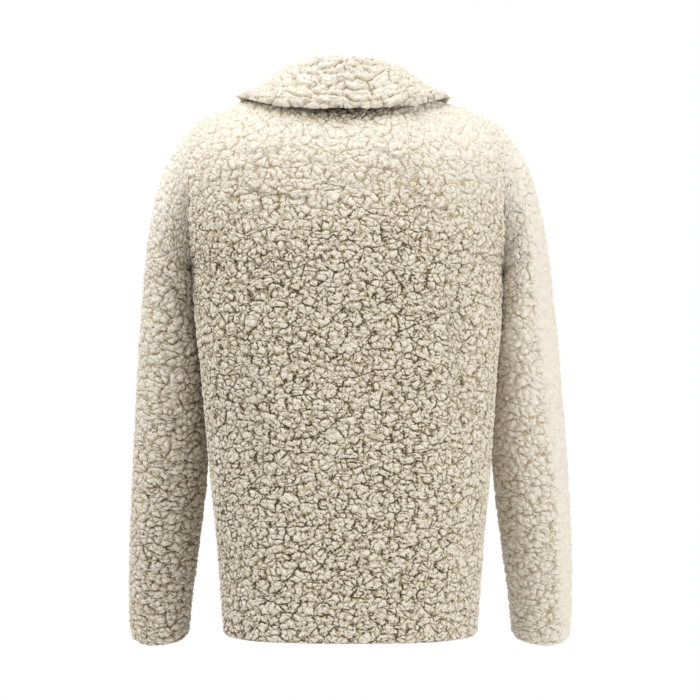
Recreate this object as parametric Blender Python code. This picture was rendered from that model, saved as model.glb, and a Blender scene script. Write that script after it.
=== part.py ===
"""Curly fleece cardigan in its worn shape, with nobody in it.

Metres, +Z up. The garment's back faces +Y, its front faces -Y, and the wearer's left is +X.
The origin is midway between the two high shoulder points, where the neck seam meets the
shoulder seams. Every piece is a wall of cloth as thick as the fleece with its pile: an outer
face worked out from sections, and an inner face set in from it. Two pieces that are sewn
together share the points of their seam, and each is drawn back from it by half the seam gap.

A point of the body is named by u and r. u runs from the middle of the garment (0) to the side
seam or armhole (1). r runs up: 0 hem, 1 underarm, 2 blade line, 3 shoulder seam or neck.
"""

import math

import bpy
import numpy as np

# All driving dimensions are in millimetres and degrees.
MM = 0.001

# Cloth
WALL = 7.0  # fleece with its pile
HEM_WALL = 11.0  # where the cloth is turned up inside
HEM_TURN = 24.0  # height of the turned hem
HEM_STEP = 8.0  # height over which the turned hem thins to one layer
SEAM_GAP = 0.3

# Levels of the body, from the high shoulder point
HEM_Z = -662.5
UNDERARM_Z = -213.0
BLADE_Z = -120.0
BREAK_Z = -400.0  # where the collar ends on the front edge
EDGE_TURN = 30.0  # the front edge swings in to the collar over this height

# Front edges
FRONT_EDGE_X = 4.2  # below the collar
BREAK_X = 12.5  # collar seam at its lower end

# Neck and shoulders
NECK_HALF = 72.0
NECK_BACK_Y = 70.0
NECK_BACK_Z = -22.0
NECK_END_TURN = 48.0  # how far the upper back has turned over at the back neck
SHOULDER_HALF = 187.0
SHOULDER_DROP = 43.5
SHOULDER_ROUND = 0.2  # share of the drop that comes late, over the shoulder bone
NECK_U = 0.40  # u of the neck and shoulder corner on the back

# Armhole, seen along X
ARM_BACK_Y = 50.0
ARM_FRONT_Y = -44.0

# Sections of the body: z, half width, depth behind, depth in front, y of the side seam
BODY_SECTIONS = np.array([
    (-662.5, 154.0, 117.0, 110.0, 12.0),
    (-600.0, 158.5, 119.0, 114.0, 15.0),
    (-540.0, 163.0, 121.0, 118.0, 18.0),
    (-475.0, 169.5, 123.5, 122.0, 20.0),
    (-380.0, 176.5, 127.0, 127.0, 22.0),
    (-300.0, 182.0, 130.0, 129.0, 22.0),
    (-255.0, 184.5, 131.5, 129.0, 18.0),
    (-213.0, 188.0, 132.0, 127.0, 11.0),
    (-165.0, 197.0, 131.0, 121.0, 5.0),
    (-120.0, 201.0, 127.0, 112.0, 3.0),
])
BACK_SQUARENESS = 0.045
FRONT_SQUARENESS = 0.015

# Soft folds of the body: face (+1 back, -1 front), side (+1 left, -1 right), distance across
# from the middle, slant of that distance per mm down, upper z, lower z (below the hem it runs
# off the edge), half width, depth (minus is a trough)
BODY_FOLDS = np.array([
    (1.0, -1.0, 150.0, -0.02, -190.0, -440.0, 20.0, -6.0),
    (1.0, -1.0, 108.0, -0.03, -280.0, -700.0, 30.0, 3.0),
    (1.0, 1.0, 138.0, -0.03, -270.0, -520.0, 24.0, -3.5),
    (1.0, 1.0, 100.0, 0.04, -360.0, -700.0, 30.0, 2.5),
    (-1.0, 1.0, 120.0, -0.05, -240.0, -600.0, 26.0, -5.0),
    (-1.0, -1.0, 128.0, -0.04, -260.0, -560.0, 24.0, -4.0),
    (-1.0, 1.0, 78.0, 0.02, -330.0, -700.0, 28.0, 3.0),
    (-1.0, -1.0, 84.0, 0.01, -300.0, -700.0, 30.0, 3.5),
])

FOLD_END_FADE = 0.35  # share of a fold's length over which an end fades
FOLD_SEAM_FADE = 0.2  # share of the panel's width in which folds fade to the side seam

# Rings of the left sleeve below the armhole: outermost x and z, innermost x and z, y of the
# middle, half depth, forward tilt
SLEEVE_RINGS = np.array([
    (203.0, -64.0, 190.0, -217.0, 4.0, 49.0, 0.0),
    (216.0, -86.0, 191.5, -221.0, 2.0, 52.0, 0.0),
    (227.0, -114.0, 191.5, -227.0, -1.0, 55.0, 1.0),
    (236.0, -148.0, 188.5, -235.5, -6.0, 57.5, 2.0),
    (243.5, -186.0, 184.5, -248.0, -14.0, 59.0, 4.0),
    (249.0, -224.0, 181.0, -267.0, -24.0, 60.0, 6.0),
    (253.5, -265.0, 178.5, -291.0, -33.0, 60.5, 9.0),
    (258.0, -308.0, 175.5, -320.0, -42.0, 60.0, 11.0),
    (262.0, -353.0, 174.5, -356.0, -51.0, 58.5, 13.0),
    (266.0, -398.0, 174.5, -396.0, -60.0, 56.5, 14.0),
    (269.5, -443.0, 176.5, -438.0, -70.0, 54.0, 15.0),
    (273.0, -488.0, 180.5, -482.0, -82.0, 51.5, 15.5),
    (276.0, -533.0, 186.0, -526.0, -95.0, 49.0, 16.0),
    (278.5, -575.0, 192.0, -569.0, -107.0, 46.5, 16.5),
    (280.0, -615.0, 198.5, -610.0, -119.0, 44.0, 16.5),
    (280.5, -654.0, 203.5, -651.0, -131.0, 42.0, 16.5),
    (279.5, -681.0, 206.0, -679.0, -139.5, 40.5, 16.5),
])
SLEEVE_MORPH_RINGS = 6.0  # rings over which the armhole's outline becomes an oval
SLEEVE_EVEN_RINGS = 12.0  # rings over which the points spread evenly round it
CUFF_TURN_RINGS = 1.5  # rings above the cuff's edge at which its wall starts to thicken

# Soft folds across the sleeves: side, ring at the middle of the fold, angle of its middle
# (0 outside, 90 behind, 180 inside, 270 in front), rings it climbs per degree towards the
# outside, half width in rings, half length in degrees, depth (minus is a trough)
SLEEVE_FOLDS = np.array([
    (1.0, 6.0, 125.0, 0.022, 0.8, 60.0, -4.0),
    (1.0, 7.6, 110.0, 0.016, 0.8, 55.0, -3.0),
    (1.0, 9.2, 280.0, -0.014, 0.9, 60.0, -3.5),
    (-1.0, 5.2, 120.0, 0.020, 0.8, 55.0, -4.0),
    (-1.0, 8.6, 130.0, 0.014, 0.9, 55.0, -2.5),
    (-1.0, 9.6, 275.0, -0.012, 0.9, 60.0, -3.0),
])

# Collar stations along the neck seam: place (0 centre back, 1 high shoulder point, 2 blade
# line, 3 lower end), height of the stand, turn-up of the stand, radius of the roll, reach of
# the fall across the front panel from the seam, thickness, arch of the fall (minus sags)
COLLAR_STATIONS = np.array([
    (0.0, 44.0, 52.0, 8.5, 53.0, 10.0, 2.0),
    (0.5, 36.0, 48.0, 8.5, 53.0, 10.0, 0.0),
    (1.0, 21.0, 42.0, 8.5, 53.0, 10.0, -5.0),
    (1.5, 19.0, 34.0, 8.5, 62.0, 10.0, 2.0),
    (2.0, 18.0, 22.0, 8.5, 68.0, 10.0, 3.0),
    (2.5, 13.0, 14.0, 7.5, 48.0, 8.5, 2.0),
    (3.0, 3.0, 8.0, 5.6, 16.0, 6.0, 0.0),
])
COLLAR_EDGE = 0.6  # thickness at the fall's edge, as a share
COLLAR_GROW = 0.25  # share of the profile in which the wall grows from the cloth's thickness
COLLAR_THIN = 0.21  # share of the profile in which it thins to the fall's edge
FALL_BACK_Z = -38.5  # lower edge of the fall at the centre back
FALL_BOW = 2.2  # over 1 keeps that edge low before it rises to the shoulder
FALL_SPREAD = 0.065  # gathers the fall's stations towards the centre back and the shoulder
COLLAR_CLEAR = 1.6  # underside of the fall above the panel at its edge

# How far the garment hangs to the wearer's left, by height
SWAY = np.array([
    (-700.0, -0.5),
    (-450.0, 0.0),
    (-300.0, 2.0),
    (-150.0, 4.0),
    (-60.0, 5.0),
    (-20.0, 7.0),
    (45.0, 9.5),
])

# Directions that tell the two sides of a seam apart
BACKWARD = (0.0, 1.0, 0.0)
TO_SLEEVE = (1.0, 0.0, -0.3)

# Fineness
ROWS_BELOW_BREAK = 6
ROWS_TO_UNDERARM = 4
ROWS_TO_BLADE = 6
ROWS_TO_SHOULDER = 6
COLUMNS_NECK = 9
COLUMNS_SHOULDER = 10
COLLAR_STAND_POINTS = 3
COLLAR_ROLL_POINTS = 5
COLLAR_FALL_POINTS = 5
SHARP_ANGLE = 50.0
WELD_STEPS_PER_MM = 1e4

FLEECE_COLOUR = (0.56, 0.49, 0.38, 1.0)
FLEECE_ROUGHNESS = 0.95


def unit(vectors):
    """Vectors scaled to length 1."""
    return vectors / np.linalg.norm(vectors, axis=-1, keepdims=True)


def ease(value):
    """0 below 0, 1 above 1 and a smooth step between."""
    held = np.clip(value, 0.0, 1.0)
    return held * held * (3.0 - 2.0 * held)


def smooth_table(at, table):
    """Columns of a table read at its first column's values, by a cubic through its rows."""
    knots = table[:, 0]
    values = table[:, 1:]
    slopes = np.gradient(values, knots, axis=0)
    at = np.clip(at, knots[0], knots[-1])
    low = np.clip(np.searchsorted(knots, at, side="right") - 1, 0, len(knots) - 2)
    span = knots[low + 1] - knots[low]
    part = ((at - knots[low]) / span)[..., None]
    span = span[..., None]
    start = values[low] * (1.0 + 2.0 * part) * (1.0 - part) ** 2
    end = values[low + 1] * part * part * (3.0 - 2.0 * part)
    lead = slopes[low] * span * part * (1.0 - part) ** 2
    tail = slopes[low + 1] * span * part * part * (part - 1.0)
    result = start + end + lead + tail
    return [result[..., column] for column in range(values.shape[1])]


def normals(grid, sign, closed=False):
    """Outward normals of a grid, from the cross product of its two directions."""
    along = np.gradient(grid, axis=0)
    if closed:
        across = np.roll(grid, -1, axis=1) - np.roll(grid, 1, axis=1)
    else:
        across = np.gradient(grid, axis=1)
    return sign * unit(np.cross(along, across))


def front_edge_x(z):
    """Distance of the front edge from the middle: upright, then slanting to the neck."""
    slanted = BREAK_X + (NECK_HALF - BREAK_X) * (z - BREAK_Z) / -BREAK_Z
    turned = ease((z - BREAK_Z + EDGE_TURN) / EDGE_TURN)
    below = FRONT_EDGE_X + (BREAK_X - FRONT_EDGE_X) * turned
    return np.where(z >= BREAK_Z, slanted, below)


def level(r):
    """Height of row r, up to the blade line."""
    low = HEM_Z + (UNDERARM_Z - HEM_Z) * np.clip(r, 0.0, 1.0)
    turn = np.clip(r - 1.0, 0.0, 1.0) * math.pi / 2.0
    high = BLADE_Z - (BLADE_Z - UNDERARM_Z) * np.cos(turn)
    return np.where(r <= 1.0, low, high)


def row_at(z):
    """Row whose height is z, below the underarm."""
    return (z - HEM_Z) / (UNDERARM_Z - HEM_Z)


def section_point(u, r, face):
    """Point of the body's section up to the blade line: an oval, squared a little.

    Above the underarm the oval is cut off where it meets the armhole, whose edge moves away
    from the side seam as a quarter of an ellipse.
    """
    z = level(r)
    half, behind, ahead, side_y = smooth_table(z, BODY_SECTIONS)
    rise = np.sin(np.clip(r - 1.0, 0.0, 1.0) * math.pi / 2.0)
    depth = behind - side_y if face > 0 else ahead + side_y
    arm_depth = ARM_BACK_Y - side_y if face > 0 else side_y - ARM_FRONT_Y
    end_angle = np.arccos(rise * arm_depth / depth)
    start_angle = 0.0 * z if face > 0 else np.arcsin(front_edge_x(z) / half)
    angle = start_angle + (end_angle - start_angle) * u
    squareness = BACK_SQUARENESS if face > 0 else FRONT_SQUARENESS
    swell = 1.0 + squareness * np.sin(2.0 * angle) ** 2
    x = half * np.sin(angle) * swell
    y = side_y + face * depth * np.cos(angle) * swell
    return np.stack([x, y, z + 0.0 * x], axis=-1)


def top_seam(u, face):
    """Upper edge of a panel: back neck and shoulder seam behind, shoulder seam in front."""
    neck_share = NECK_U if face > 0 else 0.0
    along = np.clip((u - neck_share) / (1.0 - neck_share), 0.0, 1.0)
    shoulder_x = NECK_HALF + (SHOULDER_HALF - NECK_HALF) * along
    shoulder_z = -SHOULDER_DROP * ((1.0 - SHOULDER_ROUND) * along + SHOULDER_ROUND * along**5)
    if face < 0:
        return shoulder_x, 0.0 * u, shoulder_z, np.full_like(u, math.pi / 2.0)
    turn = np.clip(u / NECK_U, 0.0, 1.0) * math.pi / 2.0
    on_neck = u < NECK_U
    x = np.where(on_neck, NECK_HALF * np.sin(turn), shoulder_x)
    y = np.where(on_neck, NECK_BACK_Y * np.cos(turn), 0.0)
    z = np.where(on_neck, NECK_BACK_Z * np.cos(turn) ** 2, shoulder_z)
    over = NECK_END_TURN + (90.0 - NECK_END_TURN) * ease(u / NECK_U)
    return x, y, z, np.radians(over)


def body_point(u, r, face):
    """Point of the body's outer face; above the blade line it turns over to the top seam."""
    base = section_point(u, np.minimum(r, 2.0), face)
    step = 0.05
    below = section_point(u, np.full_like(r, 2.0 - step), face)
    blade = section_point(u, np.full_like(r, 2.0), face)
    lean = (blade - below) / (blade - below)[..., 2:3]
    x, y, z, over = top_seam(u, face)
    turn = np.clip(r - 2.0, 0.0, 1.0) * over
    lift = np.sin(turn) / np.sin(over)
    pull = (np.cos(turn) - np.cos(over)) / (1.0 - np.cos(over))
    rise = z - blade[..., 2]
    stay = (1.0 + 2.0 * lift) * (1.0 - lift) ** 2
    leave = lift * (1.0 - lift) ** 2 * lean[..., 0] * rise
    arrive = lift * lift * (lift - 1.0) * (x - blade[..., 0])
    top_x = blade[..., 0] * stay + x * (1.0 - stay) + leave + arrive
    top_y = y + (blade[..., 1] - y) * pull
    top_z = blade[..., 2] + rise * lift
    top = np.stack([top_x, top_y, top_z], axis=-1)
    return np.where((r > 2.0)[..., None], top, base)


def fold_height(grid, face, side):
    """Sum of the soft folds that run down one panel, each a smooth bump across its line."""
    height = np.zeros(grid.shape[:2])
    step = np.linalg.norm(np.diff(grid, axis=1), axis=-1)
    first = np.abs(grid[:, :1, 0])
    across = np.concatenate([first, first + np.cumsum(step, axis=1)], axis=1)
    z = grid[..., 2]
    for fold_face, fold_side, reach, slant, top, bottom, width, depth in BODY_FOLDS:
        if fold_face != face or fold_side != side:
            continue
        line = reach + slant * (top - z)
        length = top - bottom
        fade_in = ease((top - z) / (FOLD_END_FADE * length))
        fade_out = 1.0 if bottom < HEM_Z else ease((z - bottom) / (FOLD_END_FADE * length))
        height += depth * fade_in * fade_out * np.exp(-(((across - line) / width) ** 2))
    return height


class Piece:
    """One cut piece: its outer face, the vectors through its wall, and its seams' set-back."""

    def __init__(self, outer, thickness):
        self.outer = outer
        self.thickness = thickness
        self.shift = np.zeros_like(outer)

    def draw_back(self, edge, thickness, move):
        """Give an edge its seam's end face and set it back from the seam."""
        self.thickness[edge] = thickness
        self.shift[edge] += move

    def wall(self, **options):
        """Points and triangles of the wall; the options are those of shell."""
        outer = self.outer + self.shift
        return shell(outer, outer + self.thickness, **options)


def panel(rows, columns, face, side):
    """One half of the back or one front, on the left side, with the given side's folds."""
    r, u = np.meshgrid(rows, columns, indexing="ij")
    grid = body_point(u, r, face)
    out = normals(grid, face)
    from_side = ease((1.0 - u) / FOLD_SEAM_FADE)
    grid = grid + out * (fold_height(grid, face, side) * from_side)[..., None]
    turned = ease((HEM_Z + HEM_TURN + HEM_STEP / 2.0 - grid[..., 2]) / HEM_STEP)
    wall = WALL + (HEM_WALL - WALL) * turned
    return Piece(grid, -out * wall[..., None])


def mitre(first, second):
    """Thickness vector along a seam that lies in both walls."""
    out_first = -unit(first)
    out_second = -unit(second)
    facing = np.sum(out_first * out_second, axis=-1, keepdims=True)
    thick = (np.linalg.norm(first, axis=-1) + np.linalg.norm(second, axis=-1)) / 2.0
    sharpest = 0.5
    return -(out_first + out_second) * thick[..., None] / np.maximum(1.0 + facing, sharpest)


def seam_shift(line, thickness, toward):
    """Half the seam gap, square to the seam's own end face and towards one piece."""
    along = unit(np.gradient(line, axis=0))
    square = unit(np.cross(along, thickness))
    facing = np.sign(np.sum(square * toward, axis=-1, keepdims=True))
    return square * facing * SEAM_GAP / 2.0


def sleeve_frames():
    """Middle, outward and backward axes of each sleeve ring below the armhole."""
    outer_x, outer_z, inner_x, inner_z, mid_y, half_depth, tilt = SLEEVE_RINGS.T
    middle = np.stack([(outer_x + inner_x) / 2, mid_y, (outer_z + inner_z) / 2], axis=-1)
    reach = np.stack([outer_x - inner_x, 0.0 * mid_y, outer_z - inner_z], axis=-1) / 2
    angle = np.radians(tilt)
    depth = np.stack([0.0 * angle, np.cos(angle), -np.sin(angle)], axis=-1)
    return middle, reach, depth * half_depth[:, None]


def sleeve_grid(armhole):
    """Outer face of the left sleeve: the armhole's outline, eased into ovals to the cuff."""
    middle, reach, depth = sleeve_frames()
    centre = (armhole[0] + armhole[len(armhole) // 2]) / 2.0
    up = armhole[0] - centre
    local_up = (armhole - centre) @ up / (up @ up)
    local_back = (armhole - centre)[:, 1] / ARM_BACK_Y
    own_angle = np.unwrap(np.arctan2(local_back, local_up))
    even_angle = np.linspace(0.0, 2.0 * math.pi, len(armhole), endpoint=False)
    rings = np.arange(1, len(middle) + 1)
    share = ease(rings / SLEEVE_MORPH_RINGS)[:, None]
    angle = own_angle + (even_angle - own_angle) * ease(rings / SLEEVE_EVEN_RINGS)[:, None]
    along = local_up + (np.cos(angle) - local_up) * share
    aside = local_back + (np.sin(angle) - local_back) * share
    grid = middle[:, None] + along[..., None] * reach[:, None] + aside[..., None] * depth[:, None]
    return np.concatenate([armhole[None], grid])


def sleeve_fold_height(rings, angles, side):
    """Sum of the sleeve's soft folds at ring numbers and angles in degrees."""
    height = np.zeros(np.broadcast(rings, angles).shape)
    for fold_side, ring, angle, climb, width, length, depth in SLEEVE_FOLDS:
        if fold_side != side:
            continue
        aside = (angles - angle + 180.0) % 360.0 - 180.0
        line = ring + climb * aside
        fade = ease(1.0 - np.abs(aside) / length)
        height += depth * fade * np.exp(-(((rings - line) / width) ** 2))
    return height


def sleeve(armhole, side):
    """The left sleeve on its armhole, with the given side's folds."""
    grid = sleeve_grid(armhole)
    out = normals(grid, 1, closed=True)
    rings = np.arange(len(grid))[:, None]
    angles = np.linspace(0.0, 360.0, len(armhole), endpoint=False)[None, :]
    grid = grid + out * sleeve_fold_height(rings, angles, side)[..., None]
    turned = ease(rings - (len(grid) - 1 - CUFF_TURN_RINGS))
    wall = WALL + (HEM_WALL - WALL) * turned
    return Piece(grid, -out * wall[..., None])


def collar_places(rows):
    """Place along the collar, as in its stations' first column, of each seam point."""
    behind = np.linspace(0.0, 1.0, COLUMNS_NECK + 1)
    ahead = rows[::-1][1:]
    upper = 1.0 + (3.0 - ahead)
    lower = 2.0 + (BLADE_Z - level(ahead)) / (BLADE_Z - BREAK_Z)
    return behind, ahead, np.where(ahead >= 2.0, upper, lower)


def back_row_at(u, z):
    """Row at which column u of the upper back passes height z."""
    blade = section_point(u, np.full_like(u, 2.0), 1)
    _, _, seam_z, over = top_seam(u, 1)
    lift = np.clip((z - blade[..., 2]) / (seam_z - blade[..., 2]), 0.0, 1.0)
    return 2.0 + np.arcsin(lift * np.sin(over)) / over


def fall_edge(places_behind, rows_ahead, reach):
    """Panel points under the fall's edge, and their outward normals."""
    count = len(places_behind)
    shoulder_share = reach[count - 1] / (SHOULDER_HALF - NECK_HALF)
    shoulder_u = NECK_U + (1.0 - NECK_U) * shoulder_share
    spread = places_behind - FALL_SPREAD * np.sin(2.0 * math.pi * places_behind)
    u_behind = shoulder_u * spread
    shoulder_z = top_seam(np.array([shoulder_u]), 1)[2][0]
    rise = (shoulder_z - FALL_BACK_Z) * spread**FALL_BOW
    r_behind = back_row_at(u_behind, FALL_BACK_Z + rise)
    near_side = body_point(np.zeros_like(rows_ahead), rows_ahead, -1)
    far_side = body_point(np.ones_like(rows_ahead), rows_ahead, -1)
    u_ahead = reach[count:] / np.linalg.norm(far_side - near_side, axis=-1)
    u_ahead[0] = (shoulder_share + u_ahead[0]) / 2.0

    def point(u_shift, r_shift):
        behind = body_point(u_behind + u_shift, r_behind + r_shift, 1)
        ahead = body_point(u_ahead + u_shift, rows_ahead + r_shift, -1)
        return np.concatenate([behind, ahead])

    small = 0.01
    on_panel = point(0.0, 0.0)
    across = point(small, 0.0) - point(-small, 0.0)
    up = on_panel - point(0.0, -small)
    face = np.concatenate([np.ones(count), -np.ones(len(rows_ahead))])[:, None]
    return on_panel, unit(np.cross(up, across)) * face


def evened(vectors, passes=3):
    """Vectors along a line with each averaged with its neighbours, a few times over."""
    for _ in range(passes):
        vectors = np.concatenate([
            vectors[:1], (vectors[:-2] + 2.0 * vectors[1:-1] + vectors[2:]) / 4.0, vectors[-1:]])
    return vectors


def collar_profiles(seam, frame, sizes, edge, edge_out):
    """Middle line of the collar at each seam point: stand, roll, then the fall to its edge.

    The stand is straight, the roll turns back on an arc until it faces the fall's edge, and
    the fall is a cubic curve that leaves along the roll and lands along the panel.
    """
    rising, outward = frame
    stand, roll, arch = sizes
    top = seam + rising * stand
    centre = top + outward * roll
    to_edge = edge - centre
    flight = np.arctan2(
        np.sum(to_edge * outward, axis=-1, keepdims=True),
        np.sum(to_edge * rising, axis=-1, keepdims=True))
    profile = []
    for share in np.linspace(0.0, 1.0, COLLAR_STAND_POINTS):
        profile.append(seam + (top - seam) * share)
    for share in np.linspace(0.0, 1.0, COLLAR_ROLL_POINTS + 1)[1:]:
        arm = np.sin(flight * share) * rising - np.cos(flight * share) * outward
        profile.append(centre + arm * roll)
    leave = unit(np.sin(flight) * outward + np.cos(flight) * rising)
    launch = profile[-1]
    flat = edge - launch
    third = np.linalg.norm(flat, axis=-1, keepdims=True) / 3.0
    arrive = unit(flat - edge_out * np.sum(flat * edge_out, axis=-1, keepdims=True))
    first = launch + leave * third + outward * arch
    second = edge - arrive * third + edge_out * arch
    for share in np.linspace(0.0, 1.0, COLLAR_FALL_POINTS + 1)[1:]:
        rest = 1.0 - share
        profile.append(
            launch * rest**3 + first * 3.0 * rest**2 * share
            + second * 3.0 * rest * share**2 + edge * share**3)
    return np.stack(profile, axis=1)


def collar(rows, seam, seam_wall):
    """The left half of the collar on its seam, its end faces there, and its way up."""
    behind, ahead, ahead_place = collar_places(rows)
    place = np.concatenate([behind, ahead_place])[:len(seam)]
    ahead = ahead[:len(seam) - len(behind)]
    stand, turn_up, roll, reach, thick, arch = smooth_table(place, COLLAR_STATIONS)
    along = unit(np.gradient(seam, axis=0))
    along[0] = (1.0, 0.0, 0.0)
    panel_out = evened(-unit(seam_wall))
    panel_out = unit(panel_out - along * np.sum(panel_out * along, axis=-1, keepdims=True))
    onward = unit(np.cross(along, panel_out))
    turn_up = np.radians(turn_up)[:, None]
    rising = np.cos(turn_up) * onward + np.sin(turn_up) * panel_out
    outward = np.cos(turn_up) * panel_out - np.sin(turn_up) * onward
    edge, edge_out = fall_edge(behind, ahead, reach)
    edge = edge + edge_out * (COLLAR_CLEAR + thick[:, None] / 2.0)
    sizes = (stand[:, None], roll[:, None], arch[:, None])
    middle = collar_profiles(seam + seam_wall / 2.0, (rising, outward), sizes, edge, edge_out)
    out = normals(middle, -1)
    out[0, :, 0] = 0.0
    out[0] = unit(out[0])
    across = np.linspace(0.0, 1.0, middle.shape[1])[None, :]
    thin = ease(1.0 - (1.0 - across) / COLLAR_THIN)
    wall = WALL + (thick[:, None] * (1.0 - (1.0 - COLLAR_EDGE) * thin) - WALL) * ease(
        across / COLLAR_GROW)
    outer = middle + out * wall[..., None] / 2.0
    inner = middle - out * wall[..., None] / 2.0
    end_face = mitre(seam_wall, -out[:, 0] * np.linalg.norm(seam_wall, axis=-1)[:, None])
    outer[:, 0] = seam
    return Piece(outer, inner - outer), end_face, rising


def shell(outer, inner, reverse=False, closed=False, diagonals=(0, 0, 0, 0), open_sides=()):
    """Triangles of a wall between two like grids, with its rims.

    diagonals says which way the rims at row 0, the last row, column 0 and the last column are
    split (one value, or one for each step), so that two sewn pieces split their shared end
    face alike. open_sides names rims that are left off, where another half is joined on.
    """
    rows, columns = outer.shape[:2]
    index = np.arange(rows * columns).reshape(rows, columns)
    if closed:
        index = np.concatenate([index, index[:, :1]], axis=1)
    offset = rows * columns
    a, b = index[:-1, :-1].ravel(), index[1:, :-1].ravel()
    c, d = index[1:, 1:].ravel(), index[:-1, 1:].ravel()
    faces = [np.stack([a, b, c], 1), np.stack([a, c, d], 1)]
    faces += [np.stack([a, c, b], 1) + offset, np.stack([a, d, c], 1) + offset]
    rims = {"first_row": (index[0], True, diagonals[0]),
            "last_row": (index[-1], False, diagonals[1])}
    if not closed:
        rims["first_column"] = (index[:, 0], False, diagonals[2])
        rims["last_column"] = (index[:, -1], True, diagonals[3])
    for name, (line, forward, diagonal) in rims.items():
        if name in open_sides:
            continue
        p0, p1 = line[:-1], line[1:]
        q0, q1 = p0 + offset, p1 + offset
        other = np.broadcast_to(diagonal, p0.shape)[:, None] > 0
        pair = [np.where(other, np.stack([p0, p1, q0], 1), np.stack([p0, p1, q1], 1)),
                np.where(other, np.stack([p1, q1, q0], 1), np.stack([p0, q1, q0], 1))]
        faces += pair if forward else [triangles[:, ::-1] for triangles in pair]
    triangles = np.concatenate(faces)
    if reverse:
        triangles = triangles[:, ::-1]
    points = np.concatenate([outer.reshape(-1, 3), inner.reshape(-1, 3)])
    return points, triangles


def swayed(points):
    """Points moved sideways by their height, the same for every piece."""
    (shift,) = smooth_table(points[:, 2], SWAY)
    return points + shift[:, None] * (1.0, 0.0, 0.0)


def mirrored(points, triangles):
    """The same wall on the other side of the garment's middle plane."""
    return points * (-1.0, 1.0, 1.0), triangles[:, ::-1]


def joined_at_middle(left, right):
    """One wall from two halves that share the points on the middle plane."""
    points = np.concatenate([left[0], right[0]])
    triangles = np.concatenate([left[1], right[1] + len(left[0])])
    keys = np.round(points * WELD_STEPS_PER_MM).astype(np.int64)
    _, first, back = np.unique(keys, axis=0, return_index=True, return_inverse=True)
    return points[first], back.reshape(-1)[triangles]


def fleece_material(name):
    """Plain cream fleece for one piece."""
    material = bpy.data.materials.new(name + "_fleece")
    material.use_nodes = True
    shader = material.node_tree.nodes["Principled BSDF"]
    shader.inputs["Base Color"].default_value = FLEECE_COLOUR
    shader.inputs["Roughness"].default_value = FLEECE_ROUGHNESS
    shader.inputs["Metallic"].default_value = 0.0
    return material


def add_piece(name, wall, collection):
    """Mesh object of one piece, in metres."""
    points, triangles = wall
    mesh = bpy.data.meshes.new(name)
    mesh.from_pydata((swayed(points) * MM).tolist(), [], triangles.tolist())
    mesh.update()
    mesh.shade_smooth()
    mesh.set_sharp_from_angle(angle=math.radians(SHARP_ANGLE))
    mesh.materials.append(fleece_material(name))
    piece = bpy.data.objects.new(name, mesh)
    collection.objects.link(piece)
    return piece


def body_rows():
    """Rows from the hem to the top seam, with one at each change of shape."""
    lower = [0.0, row_at(HEM_Z + HEM_TURN), row_at(HEM_Z + HEM_TURN + HEM_STEP / 2.0)]
    to_turn = np.linspace(lower[-1], row_at(BREAK_Z - EDGE_TURN), ROWS_BELOW_BREAK + 1)[1:]
    turn = [row_at(BREAK_Z - EDGE_TURN / 2.0), row_at(BREAK_Z)]
    to_arm = np.linspace(row_at(BREAK_Z), 1.0, ROWS_TO_UNDERARM + 1)[1:]
    to_blade = np.linspace(1.0, 2.0, ROWS_TO_BLADE + 1)[1:]
    to_top = np.linspace(2.0, 3.0, ROWS_TO_SHOULDER + 1)[1:]
    return np.concatenate([lower, to_turn, turn, to_arm, to_blade, to_top])


def sew_panels(back, front, under):
    """Side seam, then shoulder seam: both panels take the same mitred end face."""
    side = (slice(0, under + 1), -1)
    shoulder_back = (-1, slice(COLUMNS_NECK, None))
    shoulder_front = (-1, slice(None))
    for behind, ahead in ((side, side), (shoulder_back, shoulder_front)):
        end_face = mitre(back.thickness[behind], front.thickness[ahead])
        move = seam_shift(back.outer[behind], end_face, BACKWARD)
        back.draw_back(behind, end_face, move)
        front.draw_back(ahead, end_face, -move)


def sew_sleeve(back, front, under, side):
    """Sleeve set in the armhole: from the shoulder down the back, under the arm and up."""
    behind = (slice(None, under - 1, -1), -1)
    ahead = (slice(under + 1, -1), -1)
    loop = np.concatenate([back.outer[behind], front.outer[ahead]])
    loop_wall = np.concatenate([back.thickness[behind], front.thickness[ahead]])
    tube = sleeve(loop, side)
    end_face = mitre(loop_wall, tube.thickness[0])
    around = np.concatenate([loop[-1:], loop, loop[:1]])
    around_face = np.concatenate([end_face[-1:], end_face, end_face[:1]])
    move = seam_shift(around, around_face, TO_SLEEVE)[1:-1]
    tube.draw_back(0, end_face, move)
    half = len(back.outer[behind])
    back.draw_back(behind, end_face[:half], -move[:half])
    front.draw_back(ahead, end_face[half:], -move[half:])
    # The front's corners under the arm and at the shoulder are the back's
    front.draw_back((under, -1), end_face[half - 1], -move[half - 1])
    front.draw_back((-1, -1), end_face[0], -move[0])
    return tube


def sew_collar(back, front, rows):
    """Collar half on the neck seam, from the centre back down the front to its lower end."""
    break_row = int(np.argmin(np.abs(rows - row_at(BREAK_Z))))
    count = COLUMNS_NECK + 1
    behind = (-1, slice(0, count))
    ahead = (slice(-2, break_row - 1, -1), 0)
    seam = np.concatenate([back.outer[behind], front.outer[ahead]])
    seam_wall = np.concatenate([back.thickness[behind], front.thickness[ahead]])
    half, end_face, rising = collar(rows, seam, seam_wall)
    move = seam_shift(seam, end_face, rising)
    half.draw_back((slice(None), 0), end_face, move)
    back.draw_back(behind, end_face[:count], -move[:count])
    front.draw_back(ahead, end_face[count:], -move[count:])
    # The front's corner at the high shoulder point is the back's
    front.draw_back((-1, 0), end_face[count - 1], -move[count - 1])
    # The two halves meet in an upright seam at the centre back
    half.outer[0, :, 0] = SEAM_GAP / 2.0
    half.thickness[0, :, 0] = 0.0
    half.shift[0, :, 0] = 0.0
    back.shift[:, 0, 0] = 0.0
    return half


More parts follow.
